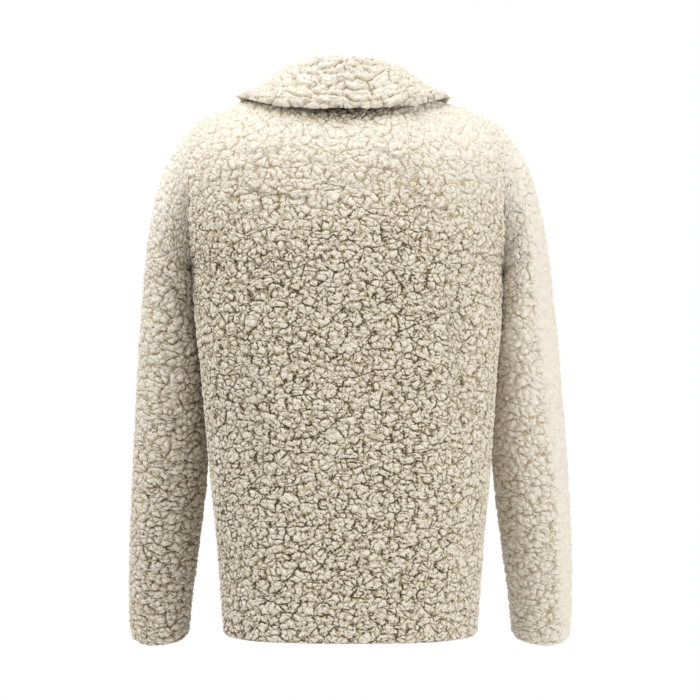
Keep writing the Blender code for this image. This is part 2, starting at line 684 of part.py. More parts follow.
def build_side(side):
    """Walls of one side's half back, front, sleeve and collar half, made on the left."""
    rows = body_rows()
    neck_columns = np.linspace(0.0, NECK_U, COLUMNS_NECK + 1)
    shoulder_columns = np.linspace(NECK_U, 1.0, COLUMNS_SHOULDER + 1)[1:]
    back = panel(rows, np.concatenate([neck_columns, shoulder_columns]), 1, side)
    front = panel(rows, np.linspace(0.0, 1.0, COLUMNS_SHOULDER + 1), -1, side)
    back.thickness[:, 0, 0] = 0.0
    under = int(np.argmin(np.abs(rows - 1.0)))
    sew_panels(back, front, under)
    tube = sew_sleeve(back, front, under, side)
    half_collar = sew_collar(back, front, rows)
    # The sleeve's end splits as the panel does that it meets: the back's steps come first
    on_back = np.arange(tube.outer.shape[1]) < len(rows) - 1 - under
    return {
        "back": back.wall(open_sides=("first_column",)),
        "front": front.wall(reverse=True, diagonals=(0, 0, 1, 0)),
        "sleeve": tube.wall(closed=True, diagonals=(on_back, 0)),
        "collar": half_collar.wall(reverse=True),
    }


def main():
    """Clear the scene, then make the seven pieces of the cardigan."""
    for thing in list(bpy.data.objects):
        bpy.data.objects.remove(thing)
    garment = bpy.data.collections.new("fleece_cardigan")
    bpy.context.scene.collection.children.link(garment)
    left = build_side(1.0)
    right = {name: mirrored(*wall) for name, wall in build_side(-1.0).items()}
    add_piece("back", joined_at_middle(left["back"], right["back"]), garment)
    for name in ("front", "sleeve", "collar"):
        add_piece(name + "_left", left[name], garment)
        add_piece(name + "_right", right[name], garment)


main()
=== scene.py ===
"""Looks of the curly fleece cardigan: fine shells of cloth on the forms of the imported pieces.

Metres in the finished meshes, +Z up; the form is worked out in millimetres. The garment's back
faces +Y and the wearer's left is +X. Each cut piece is one closed shell. Its outer face is a grid
on the piece's form, raised into curls of pile; its inner face is the plain ground of the cloth.

A point of the body is named by u and r. u runs from the middle of the garment (0) to the side
seam or armhole (1). r runs up: 0 hem, 1 underarm, 2 blade line, 3 shoulder seam or neck.
"""

import logging
import math
from dataclasses import dataclass, field
from enum import Enum

import bpy
import numpy as np
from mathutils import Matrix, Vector


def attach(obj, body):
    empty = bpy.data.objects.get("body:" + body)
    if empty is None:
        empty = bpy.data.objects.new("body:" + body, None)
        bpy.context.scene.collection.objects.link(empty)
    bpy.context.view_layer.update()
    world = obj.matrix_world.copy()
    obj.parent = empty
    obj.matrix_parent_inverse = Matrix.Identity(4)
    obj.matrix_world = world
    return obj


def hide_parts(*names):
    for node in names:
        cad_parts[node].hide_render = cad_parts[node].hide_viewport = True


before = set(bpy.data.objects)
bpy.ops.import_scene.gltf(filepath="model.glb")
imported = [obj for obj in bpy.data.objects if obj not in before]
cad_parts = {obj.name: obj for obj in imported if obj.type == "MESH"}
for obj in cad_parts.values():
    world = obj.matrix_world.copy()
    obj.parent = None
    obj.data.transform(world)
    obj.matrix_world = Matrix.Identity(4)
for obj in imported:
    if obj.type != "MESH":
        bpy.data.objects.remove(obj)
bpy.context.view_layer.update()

MM = 0.001
logger = logging.getLogger("cardigan")


class Side(Enum):
    """A side of the wearer, as the sign of its x."""

    LEFT = 1
    RIGHT = -1

    @property
    def word(self) -> str:
        """The side's name in a piece's name."""
        return self.name.lower()


class Face(Enum):
    """A face of the garment, as the sign of its y."""

    BACK = 1
    FRONT = -1


def unit(vectors: np.ndarray) -> np.ndarray:
    """Vectors scaled to length 1."""
    return vectors / np.linalg.norm(vectors, axis=-1, keepdims=True)


def ease(value: np.ndarray | float) -> np.ndarray:
    """0 below 0, 1 above 1 and the smooth step 3v^2 - 2v^3 between."""
    held = np.clip(value, 0.0, 1.0)
    return held * held * (3.0 - 2.0 * held)


def smooth_table(at: np.ndarray, table: np.ndarray) -> list[np.ndarray]:
    """Columns of a table read at values of its first column.

    Between two rows each column is the cubic that has the rows' values and their mean slopes.

    Args:
        at: values of the first column.
        table: rows in rising order of the first column.

    Returns:
        One array like at for each further column.
    """
    knots, values = table[:, 0], table[:, 1:]
    slopes = np.gradient(values, knots, axis=0)
    at = np.clip(at, knots[0], knots[-1])
    low = np.clip(np.searchsorted(knots, at, side="right") - 1, 0, len(knots) - 2)
    span = knots[low + 1] - knots[low]
    part = ((at - knots[low]) / span)[..., None]
    span = span[..., None]
    result = (
        values[low] * (1.0 + 2.0 * part) * (1.0 - part) ** 2
        + values[low + 1] * part * part * (3.0 - 2.0 * part)
        + slopes[low] * span * part * (1.0 - part) ** 2
        + slopes[low + 1] * span * part * part * (part - 1.0)
    )
    return [result[..., column] for column in range(values.shape[1])]


def grid_normals(grid: np.ndarray, sign: int) -> np.ndarray:
    """Outward normals of a grid: the cross product of its two directions, times sign."""
    along, across = np.gradient(grid, axis=0), np.gradient(grid, axis=1)
    return sign * unit(np.cross(along, across))


def lengths(grid: np.ndarray, axis: int, start: int = 0) -> np.ndarray:
    """Arc length along an axis of a grid, counted from the line start, negative before it."""
    step = np.linalg.norm(np.diff(grid, axis=axis), axis=-1)
    total = np.cumsum(step, axis=axis)
    pad = [(0, 0), (0, 0)]
    pad[axis] = (1, 0)
    total = np.pad(total, pad)
    return total - np.take(total, [start], axis=axis)


def softened(vectors: np.ndarray, spread: float) -> np.ndarray:
    """Vectors along a line, averaged by a bell curve of the given spread in steps."""
    reach = int(3 * spread)
    bell = np.exp(-0.5 * (np.arange(-reach, reach + 1) / spread) ** 2)
    padded = np.pad(vectors, ((reach, reach), (0, 0)), mode="edge")
    columns = [np.convolve(column, bell / bell.sum(), mode="valid") for column in padded.T]
    return np.stack(columns, axis=-1)


def steps_from_edge(count: int, turn: float, length: float) -> np.ndarray:
    """Distances from a free edge to length in count steps, closer together in the turn.

    The first quarter-round is cut into TURN_STEPS equal angles, so that the rounded edge
    keeps its shape; the rest is even.
    """
    angles = np.linspace(0.0, math.pi / 2.0, TURN_STEPS + 1)
    near = turn * (1.0 - np.cos(angles))
    return np.concatenate([near, np.linspace(turn, length, count - TURN_STEPS + 1)[1:]])


TURN_STEPS = 5
COARSE = 4  # steps of the outer face for one step of the inner face


@dataclass(frozen=True)
class ClothSizes:
    """Sizes of the cloth and of its edges, in millimetres."""

    wall: float = 7.0
    hem_wall: float = 11.0
    hem_turn: float = 24.0
    hem_step: float = 8.0
    seam_gap: float = 0.3
    edge_slit: float = 0.3  # half height left between the two faces at a free edge
    seam_wall: float = 4.0  # thickness of the wall at a seam
    seam_reach: float = 4.0  # the wall thins and the pile sinks over this distance
    seam_sink: float = 0.1
    seam_pile: float = 0.95  # share of the pile's height left at a seam
    edge_pile: float = 1.0  # and at a free edge
    seam_lap: float = 1.1
    pile_sink: float = 3.1  # the ground under the pile lies this far below the form


CLOTH = ClothSizes()


@dataclass(frozen=True)
class BodyForm:
    """Form of the body, in millimetres: sections up to the blade line, then the shoulders."""

    hem_z: float = -662.5
    underarm_z: float = -213.0
    blade_z: float = -120.0
    break_z: float = -400.0
    edge_turn: float = 30.0
    front_edge_x: float = 4.2
    break_x: float = 12.5
    neck_half: float = 72.0
    neck_back_y: float = 70.0
    neck_back_z: float = -22.0
    neck_end_turn: float = 48.0
    shoulder_half: float = 187.0
    shoulder_drop: float = 43.5
    shoulder_round: float = 0.2
    neck_u: float = 0.40
    arm_back_y: float = 50.0
    arm_front_y: float = -44.0
    back_squareness: float = 0.045
    front_squareness: float = 0.015
    # z, half width, depth behind, depth in front, y of the side seam
    sections: tuple[tuple[float, ...], ...] = (
        (-662.5, 154.0, 117.0, 110.0, 12.0),
        (-600.0, 158.5, 119.0, 114.0, 15.0),
        (-540.0, 163.0, 121.0, 118.0, 18.0),
        (-475.0, 169.5, 123.5, 122.0, 20.0),
        (-380.0, 176.5, 127.0, 127.0, 22.0),
        (-300.0, 182.0, 130.0, 129.0, 22.0),
        (-255.0, 184.5, 131.5, 129.0, 18.0),
        (-213.0, 188.0, 132.0, 127.0, 11.0),
        (-165.0, 197.0, 131.0, 121.0, 5.0),
        (-120.0, 201.0, 127.0, 112.0, 3.0),
    )
    # face, side, distance across from the middle, slant, upper z, lower z, half width, depth
    folds: tuple[tuple[float, ...], ...] = (
        (1.0, -1.0, 150.0, -0.02, -190.0, -440.0, 20.0, -6.0),
        (1.0, -1.0, 108.0, -0.03, -280.0, -700.0, 30.0, 3.0),
        (1.0, 1.0, 138.0, -0.03, -270.0, -520.0, 24.0, -3.5),
        (1.0, 1.0, 100.0, 0.04, -360.0, -700.0, 30.0, 2.5),
        (-1.0, 1.0, 120.0, -0.05, -240.0, -600.0, 26.0, -5.0),
        (-1.0, -1.0, 128.0, -0.04, -260.0, -560.0, 24.0, -4.0),
        (-1.0, 1.0, 78.0, 0.02, -330.0, -700.0, 28.0, 3.0),
        (-1.0, -1.0, 84.0, 0.01, -300.0, -700.0, 30.0, 3.5),
    )
    fold_end_fade: float = 0.35
    fold_seam_fade: float = 0.2

    def edge_x(self, z: np.ndarray) -> np.ndarray:
        """Distance of the front edge from the middle: upright, then slanting to the neck."""
        rise = (z - self.break_z) / -self.break_z
        slanted = self.break_x + (self.neck_half - self.break_x) * rise
        turned = ease((z - self.break_z + self.edge_turn) / self.edge_turn)
        below = self.front_edge_x + (self.break_x - self.front_edge_x) * turned
        return np.where(z >= self.break_z, slanted, below)

    def level(self, r: np.ndarray) -> np.ndarray:
        """Height of row r: even up to the underarm, then a quarter sine to the blade line."""
        low = self.hem_z + (self.underarm_z - self.hem_z) * np.clip(r, 0.0, 1.0)
        turn = np.clip(r - 1.0, 0.0, 1.0) * math.pi / 2.0
        high = self.blade_z - (self.blade_z - self.underarm_z) * np.cos(turn)
        return np.where(r <= 1.0, low, high)

    def row_at(self, z: np.ndarray | float) -> np.ndarray:
        """Row whose height is z, up to the blade line."""
        low = (z - self.hem_z) / (self.underarm_z - self.hem_z)
        share = np.clip((self.blade_z - z) / (self.blade_z - self.underarm_z), 0.0, 1.0)
        return np.where(np.asarray(z) <= self.underarm_z, low, 1.0 + np.arccos(share) * 2.0 / math.pi)

    def section_point(self, u: np.ndarray, r: np.ndarray, face: Face) -> np.ndarray:
        """Point of the section at row r: an oval, squared a little.

        Above the underarm the oval is cut off where it meets the armhole, whose edge moves away
        from the side seam as a quarter of an ellipse.
        """
        z = self.level(r)
        half, behind, ahead, side_y = smooth_table(z, np.array(self.sections))
        rise = np.sin(np.clip(r - 1.0, 0.0, 1.0) * math.pi / 2.0)
        if face is Face.BACK:
            depth, arm_depth, squareness = behind - side_y, self.arm_back_y - side_y, self.back_squareness
            start_angle = 0.0 * z
        else:
            depth, arm_depth, squareness = ahead + side_y, side_y - self.arm_front_y, self.front_squareness
            start_angle = np.arcsin(self.edge_x(z) / half)
        end_angle = np.arccos(rise * arm_depth / depth)
        angle = start_angle + (end_angle - start_angle) * u
        swell = 1.0 + squareness * np.sin(2.0 * angle) ** 2
        x = half * np.sin(angle) * swell
        y = side_y + face.value * depth * np.cos(angle) * swell
        return np.stack([x, y, z + 0.0 * x], axis=-1)

    def top_seam(self, u: np.ndarray, face: Face) -> tuple[np.ndarray, ...]:
        """Back neck and shoulder seam behind, shoulder seam in front: x, y, z and turn-over."""
        neck_share = self.neck_u if face is Face.BACK else 0.0
        along = np.clip((u - neck_share) / (1.0 - neck_share), 0.0, 1.0)
        shoulder_x = self.neck_half + (self.shoulder_half - self.neck_half) * along
        late = (1.0 - self.shoulder_round) * along + self.shoulder_round * along**5
        shoulder_z = -self.shoulder_drop * late
        if face is Face.FRONT:
            return shoulder_x, 0.0 * u, shoulder_z, np.full_like(u, math.pi / 2.0)
        turn = np.clip(u / self.neck_u, 0.0, 1.0) * math.pi / 2.0
        on_neck = u < self.neck_u
        x = np.where(on_neck, self.neck_half * np.sin(turn), shoulder_x)
        y = np.where(on_neck, self.neck_back_y * np.cos(turn), 0.0)
        z = np.where(on_neck, self.neck_back_z * np.cos(turn) ** 2, shoulder_z)
        over = self.neck_end_turn + (90.0 - self.neck_end_turn) * ease(u / self.neck_u)
        return x, y, z, np.radians(over)

    def point(self, u: np.ndarray, r: np.ndarray, face: Face) -> np.ndarray:
        """Point of the outer face; above the blade line it turns over to the top seam.

        The height rises as a sine and the depth falls as a cosine of the turn, and the width is
        a cubic that leaves the blade line along the section's lean and lands upright.
        """
        base = self.section_point(u, np.minimum(r, 2.0), face)
        step = 0.05
        below = self.section_point(u, np.full_like(r, 2.0 - step), face)
        blade = self.section_point(u, np.full_like(r, 2.0), face)
        lean = (blade - below) / (blade - below)[..., 2:3]
        x, y, z, over = self.top_seam(u, face)
        turn = np.clip(r - 2.0, 0.0, 1.0) * over
        lift = np.sin(turn) / np.sin(over)
        pull = (np.cos(turn) - np.cos(over)) / (1.0 - np.cos(over))
        rise = z - blade[..., 2]
        stay = (1.0 + 2.0 * lift) * (1.0 - lift) ** 2
        leave = lift * (1.0 - lift) ** 2 * lean[..., 0] * rise
        arrive = lift * lift * (lift - 1.0) * (x - blade[..., 0])
        top_x = blade[..., 0] * stay + x * (1.0 - stay) + leave + arrive
        top_y = y + (blade[..., 1] - y) * pull
        top = np.stack([top_x, top_y, blade[..., 2] + rise * lift], axis=-1)
        return np.where((r > 2.0)[..., None], top, base)

    def frame_at(self, u: np.ndarray, r: np.ndarray, face: Face) -> tuple[np.ndarray, np.ndarray]:
        """Points of the outer face and their outward normals, from small steps to each side."""
        small = 0.01
        across = self.point(u + small, r, face) - self.point(u - small, r, face)
        point = self.point(u, r, face)
        up = point - self.point(u, r - small, face)
        return point, face.value * unit(np.cross(up, across))

    def back_row_at(self, u: np.ndarray, z: np.ndarray) -> np.ndarray:
        """Row at which column u of the upper back passes height z."""
        blade = self.section_point(u, np.full_like(u, 2.0), Face.BACK)
        _, _, seam_z, over = self.top_seam(u, Face.BACK)
        lift = np.clip((z - blade[..., 2]) / (seam_z - blade[..., 2]), 0.0, 1.0)
        return 2.0 + np.arcsin(lift * np.sin(over)) / over

    def fold_height(self, grid: np.ndarray, face: Face, side: Side) -> np.ndarray:
        """Sum of the soft folds that run down one panel, each a smooth bump across its line."""
        height = np.zeros(grid.shape[:2])
        across = np.abs(grid[:, :1, 0]) + lengths(grid, 1)
        z = grid[..., 2]
        for fold_face, fold_side, reach, slant, top, bottom, width, depth in self.folds:
            if fold_face != face.value or fold_side != side.value:
                continue
            line = reach + slant * (top - z)
            fade = self.fold_end_fade * (top - bottom)
            fade_out = 1.0 if bottom < self.hem_z else ease((z - bottom) / fade)
            bump = np.exp(-(((across - line) / width) ** 2))
            height += depth * ease((top - z) / fade) * fade_out * bump
        return height

    def panel(self, r: np.ndarray, u: np.ndarray, face: Face, side: Side) -> np.ndarray:
        """Grid of one half of the back or one front, on the left side, with a side's folds."""
        row, column = np.meshgrid(r, u, indexing="ij")
        grid = self.point(column, row, face)
        fade = ease((1.0 - column) / self.fold_seam_fade)
        height = self.fold_height(grid, face, side) * fade
        return grid + grid_normals(grid, face.value) * height[..., None]


@dataclass(frozen=True)
class SleeveForm:
    """Form of the sleeves: the armhole's outline, eased into ovals down to the cuff."""

    body: BodyForm
    morph_rings: float = 6.0
    even_rings: float = 12.0
    # outermost x and z, innermost x and z, y of the middle, half depth, forward tilt
    rings: tuple[tuple[float, ...], ...] = (
        (203.0, -64.0, 190.0, -217.0, 4.0, 49.0, 0.0),
        (216.0, -86.0, 191.5, -221.0, 2.0, 52.0, 0.0),
        (227.0, -114.0, 191.5, -227.0, -1.0, 55.0, 1.0),
        (236.0, -148.0, 188.5, -235.5, -6.0, 57.5, 2.0),
        (243.5, -186.0, 184.5, -248.0, -14.0, 59.0, 4.0),
        (249.0, -224.0, 181.0, -267.0, -24.0, 60.0, 6.0),
        (253.5, -265.0, 178.5, -291.0, -33.0, 60.5, 9.0),
        (258.0, -308.0, 175.5, -320.0, -42.0, 60.0, 11.0),
        (262.0, -353.0, 174.5, -356.0, -51.0, 58.5, 13.0),
        (266.0, -398.0, 174.5, -396.0, -60.0, 56.5, 14.0),
        (269.5, -443.0, 176.5, -438.0, -70.0, 54.0, 15.0),
        (273.0, -488.0, 180.5, -482.0, -82.0, 51.5, 15.5),
        (276.0, -533.0, 186.0, -526.0, -95.0, 49.0, 16.0),
        (278.5, -575.0, 192.0, -569.0, -107.0, 46.5, 16.5),
        (280.0, -615.0, 198.5, -610.0, -119.0, 44.0, 16.5),
        (280.5, -654.0, 203.5, -651.0, -131.0, 42.0, 16.5),
        (279.5, -681.0, 206.0, -679.0, -139.5, 40.5, 16.5),
    )
    # side, ring, angle of the middle, rings climbed per degree, half width, half length, depth
    folds: tuple[tuple[float, ...], ...] = (
        (1.0, 6.0, 125.0, 0.022, 0.8, 60.0, -4.0),
        (1.0, 7.6, 110.0, 0.016, 0.8, 55.0, -3.0),
        (1.0, 9.2, 280.0, -0.014, 0.9, 60.0, -3.5),
        (-1.0, 5.2, 120.0, 0.020, 0.8, 55.0, -4.0),
        (-1.0, 8.6, 130.0, 0.014, 0.9, 55.0, -2.5),
        (-1.0, 9.6, 275.0, -0.012, 0.9, 60.0, -3.0),
    )

    def armhole(self, turn: np.ndarray) -> np.ndarray:
        """Armhole at a turn of 0 to 2: from the shoulder down the back (1) and up the front."""
        behind = self.body.point(np.ones_like(turn), 3.0 - 2.0 * np.clip(turn, 0.0, 1.0), Face.BACK)
        ahead = self.body.point(np.ones_like(turn), 2.0 * np.clip(turn, 1.0, 2.0) - 1.0, Face.FRONT)
        return np.where((turn <= 1.0)[:, None], behind, ahead)

    def axes(self, q: np.ndarray, top: np.ndarray, under: np.ndarray) -> list[np.ndarray]:
        """Middle, outward axis and backward axis of the rings numbered q.

        Args:
            q: ring numbers, 0 at the armhole.
            top: the armhole's highest point.
            under: its lowest point.

        Returns:
            Three arrays of vectors, a row for each ring.
        """
        outer_x, outer_z, inner_x, inner_z, mid_y, half_depth, tilt = np.array(self.rings).T
        middle = np.stack([(outer_x + inner_x) / 2, mid_y, (outer_z + inner_z) / 2], axis=-1)
        reach = np.stack([outer_x - inner_x, 0.0 * mid_y, outer_z - inner_z], axis=-1) / 2
        angle = np.radians(tilt)
        depth = np.stack([0.0 * angle, np.cos(angle), -np.sin(angle)], axis=-1)
        depth = depth * half_depth[:, None]
        centre = (top + under) / 2.0
        first = np.concatenate([centre, top - centre, [0.0, self.body.arm_back_y, 0.0]])
        rows = np.concatenate([first[None], np.concatenate([middle, reach, depth], axis=1)])
        numbers = np.arange(len(rows))[:, None]
        columns = smooth_table(q, np.concatenate([numbers, rows], axis=1))
        return [np.stack(columns[k:k + 3], axis=-1) for k in (0, 3, 6)]

    def grid(self, q: np.ndarray, turn: np.ndarray, side: Side) -> np.ndarray:
        """Outer face at ring numbers q and turns round the sleeve, with one side's folds.

        A ring's point is its middle, plus the outward axis times a cosine, plus the backward
        axis times a sine. Near the armhole the cosine and sine ease into its own outline.
        """
        loop = self.armhole(turn % 2.0)
        top, under = self.armhole(np.array([0.0, 1.0]))
        middle, reach, depth = self.axes(q, top, under)
        centre, up = (top + under) / 2.0, (top - under) / 2.0
        local_up = (loop - centre) @ up / (up @ up)
        local_back = (loop - centre)[:, 1] / self.body.arm_back_y
        flat = centre + local_up[:, None] * up
        flat = flat + local_back[:, None] * np.array([0.0, self.body.arm_back_y, 0.0])
        own_angle = np.unwrap(np.arctan2(local_back, local_up))
        own_angle += np.round((math.pi * turn - own_angle) / (2.0 * math.pi)) * 2.0 * math.pi
        share = ease(q / self.morph_rings)[:, None]
        evening = ease(q / self.even_rings)[:, None]
        angle = own_angle + (math.pi * turn - own_angle) * evening
        along = local_up + (np.cos(angle) - local_up) * share
        aside = local_back + (np.sin(angle) - local_back) * share
        grid = middle[:, None] + along[..., None] * reach[:, None] + aside[..., None] * depth[:, None]
        off_plane = (loop - flat) * np.clip(1.0 - q, 0.0, 1.0)[:, None, None]
        grid = grid + off_plane
        height = self.fold_height(q[:, None], 180.0 * turn[None, :], side)
        return grid + grid_normals(grid, 1) * height[..., None]

    def fold_height(self, q: np.ndarray, degrees: np.ndarray, side: Side) -> np.ndarray:
        """Sum of the sleeve's soft folds, each a trough that climbs as it goes round."""
        height = np.zeros(np.broadcast(q, degrees).shape)
        for fold_side, ring, middle, climb, width, length, depth in self.folds:
            if fold_side != side.value:
                continue
            aside = (degrees - middle + 180.0) % 360.0 - 180.0
            fade = ease(1.0 - np.abs(aside) / length)
            height += depth * fade * np.exp(-(((q - ring - climb * aside) / width) ** 2))
        return height


@dataclass(frozen=True)
class CollarForm:
    """Form of the shawl collar: a stand, a roll and a fall, along the neck seam."""

    body: BodyForm
    edge_share: float = 0.6
    grow: float = 0.25
    thin: float = 0.21
    fall_back_z: float = -38.5
    fall_bow: float = 2.2
    fall_spread: float = 0.065
    clear: float = 1.6
    stand_off: float = 4.0  # more clearance of the fall's edge at the centre back
    front_blend: float = 0.33
    frame_spread_mm: float = 17.0
    # place, stand, turn-up, roll radius, reach of the fall, thickness, arch of the fall
    stations: tuple[tuple[float, ...], ...] = (
        (0.0, 44.0, 52.0, 8.5, 53.0, 10.0, 2.0),
        (0.5, 36.0, 48.0, 8.5, 53.0, 10.0, 0.0),
        (1.0, 21.0, 42.0, 8.5, 53.0, 10.0, -5.0),
        (1.5, 19.0, 34.0, 8.5, 62.0, 10.0, 2.0),
        (2.0, 18.0, 22.0, 8.5, 68.0, 10.0, 3.0),
        (2.5, 13.0, 14.0, 7.5, 48.0, 8.5, 2.0),
        (3.0, 3.0, 8.0, 5.6, 16.0, 6.0, 0.0),
    )
    stand_end: float = 2.0 / 12.0
    roll_end: float = 7.0 / 12.0

    def seam(self, place: np.ndarray) -> tuple[np.ndarray, np.ndarray]:
        """Neck seam and the panels' outward normals there.

        Place 0 to 1 is the back neck, 1 to 2 the front edge down to the blade line, and 2 to 3
        goes on down to the collar's lower end.
        """
        body = self.body
        low_z = body.blade_z - (place - 2.0) * (body.blade_z - body.break_z)
        row = np.where(place < 2.0, 4.0 - place, body.row_at(low_z))
        behind = body.frame_at(np.minimum(body.neck_u * place, body.neck_u), np.full_like(place, 3.0), Face.BACK)
        ahead = body.frame_at(0.0 * place, np.clip(row, 0.0, 3.0), Face.FRONT)
        on_back = (place <= 1.0)[:, None]
        return np.where(on_back, behind[0], ahead[0]), np.where(on_back, behind[1], ahead[1])

    def fall_edge(self, place: np.ndarray, reach: np.ndarray) -> tuple[np.ndarray, np.ndarray]:
        """Panel points under the fall's edge, and the panels' outward normals there."""
        body = self.body
        back_reach = smooth_table(np.array([1.0]), np.array(self.stations))[3][0]
        shoulder_share = back_reach / (body.shoulder_half - body.neck_half)
        shoulder_u = body.neck_u + (1.0 - body.neck_u) * shoulder_share
        on_back = np.minimum(place, 1.0)
        spread = on_back - self.fall_spread * np.sin(2.0 * math.pi * on_back)
        u_behind = shoulder_u * spread
        shoulder_z = body.top_seam(np.array([shoulder_u]), Face.BACK)[2][0]
        rise = (shoulder_z - self.fall_back_z) * spread**self.fall_bow
        behind = body.frame_at(u_behind, body.back_row_at(u_behind, self.fall_back_z + rise), Face.BACK)
        low_z = body.blade_z - (place - 2.0) * (body.blade_z - body.break_z)
        row = np.clip(np.where(place < 2.0, 4.0 - place, body.row_at(low_z)), 0.0, 3.0)
        near_side = body.point(np.zeros_like(row), row, Face.FRONT)
        far_side = body.point(np.ones_like(row), row, Face.FRONT)
        u_ahead = reach / np.linalg.norm(far_side - near_side, axis=-1)
        u_ahead = shoulder_share + (u_ahead - shoulder_share) * ease((place - 1.0) / self.front_blend)
        ahead = body.frame_at(u_ahead, row, Face.FRONT)
        behind_it = (place <= 1.0)[:, None]
        return np.where(behind_it, behind[0], ahead[0]), np.where(behind_it, behind[1], ahead[1])

    def middle(self, place: np.ndarray, across: np.ndarray) -> tuple[np.ndarray, np.ndarray]:
        """Middle surface and wall thickness of the left half.

        The stand is straight, the roll turns back on an arc until it faces the fall's edge, and
        the fall is a cubic curve that leaves along the roll and lands along the panel.

        Args:
            place: places along the seam, 0 at the centre back.
            across: places across the collar, 0 at the seam and 1 at the fall's edge.

        Returns:
            The grid of points, and the thickness at each.
        """
        stand, turn_up, roll, reach, thick, arch = smooth_table(place, np.array(self.stations))
        seam, panel_out = self.seam(place)
        along = unit(np.gradient(seam, axis=0))
        along[0] = (1.0, 0.0, 0.0)
        step = float(np.median(np.linalg.norm(np.diff(seam, axis=0), axis=-1)))
        panel_out = softened(panel_out, self.frame_spread_mm / step)
        panel_out[:, 0] -= panel_out[0, 0] * ease(1.0 - place / 0.5)
        panel_out = unit(panel_out - along * np.sum(panel_out * along, axis=-1, keepdims=True))
        onward = unit(np.cross(along, panel_out))
        turn_up = np.radians(turn_up)[:, None]
        rising = np.cos(turn_up) * onward + np.sin(turn_up) * panel_out
        outward = np.cos(turn_up) * panel_out - np.sin(turn_up) * onward
        edge, edge_out = self.fall_edge(place, reach)
        stand_off = self.clear + self.stand_off * (1.0 - ease(place / 0.9))
        edge = edge + edge_out * (stand_off + thick / 2.0)[:, None]
        start = seam - panel_out * CLOTH.wall / 2.0
        top = start + rising * stand[:, None]
        roll, arch = roll[:, None], arch[:, None]
        centre = top + outward * roll
        to_edge = edge - centre
        flight = np.arctan2(
            np.sum(to_edge * outward, axis=-1, keepdims=True),
            np.sum(to_edge * rising, axis=-1, keepdims=True),
        )
        leave = unit(np.sin(flight) * outward + np.cos(flight) * rising)
        launch = centre + (np.sin(flight) * rising - np.cos(flight) * outward) * roll
        flat = edge - launch
        third = np.linalg.norm(flat, axis=-1, keepdims=True) / 3.0
        arrive = unit(flat - edge_out * np.sum(flat * edge_out, axis=-1, keepdims=True))
        first = launch + leave * third + outward * arch
        second = edge - arrive * third + edge_out * arch
        up = np.clip(across / self.stand_end, 0.0, 1.0)[None, :, None]
        over = np.clip((across - self.stand_end) / (self.roll_end - self.stand_end), 0.0, 1.0)
        over = over[None, :, None] * flight[:, None]
        down = np.clip((across - self.roll_end) / (1.0 - self.roll_end), 0.0, 1.0)[None, :, None]
        risen = start[:, None] + (top - start)[:, None] * up
        arm = np.sin(over) * rising[:, None] - np.cos(over) * outward[:, None]
        rolled = centre[:, None] + arm * roll[:, None]
        rest = 1.0 - down
        fallen = (
            launch[:, None] * rest**3 + first[:, None] * 3.0 * rest**2 * down
            + second[:, None] * 3.0 * rest * down**2 + edge[:, None] * down**3
        )
        place_across = across[None, :, None]
        grid = np.where(place_across <= self.stand_end, risen, rolled)
        grid = np.where(place_across <= self.roll_end, grid, fallen)
        thin = ease(1.0 - (1.0 - across) / self.thin)[None, :]
        full = thick[:, None] * (1.0 - (1.0 - self.edge_share) * thin)
        wall = CLOTH.wall + (full - CLOTH.wall) * ease(across / self.grow)[None, :]
        return grid, wall


BODY = BodyForm()
# height, and how far the garment hangs to the wearer's left there
SWAY = np.array([
    (-700.0, -0.5),
    (-450.0, 0.0),
    (-300.0, 2.0),
    (-150.0, 4.0),
    (-60.0, 5.0),
    (-20.0, 7.0),
    (45.0, 9.5),
])


def swayed(points: np.ndarray) -> np.ndarray:
    """Points moved sideways by their height, the same for every piece."""
    (shift,) = smooth_table(points[..., 2], SWAY)
    return points + shift[..., None] * np.array([1.0, 0.0, 0.0])


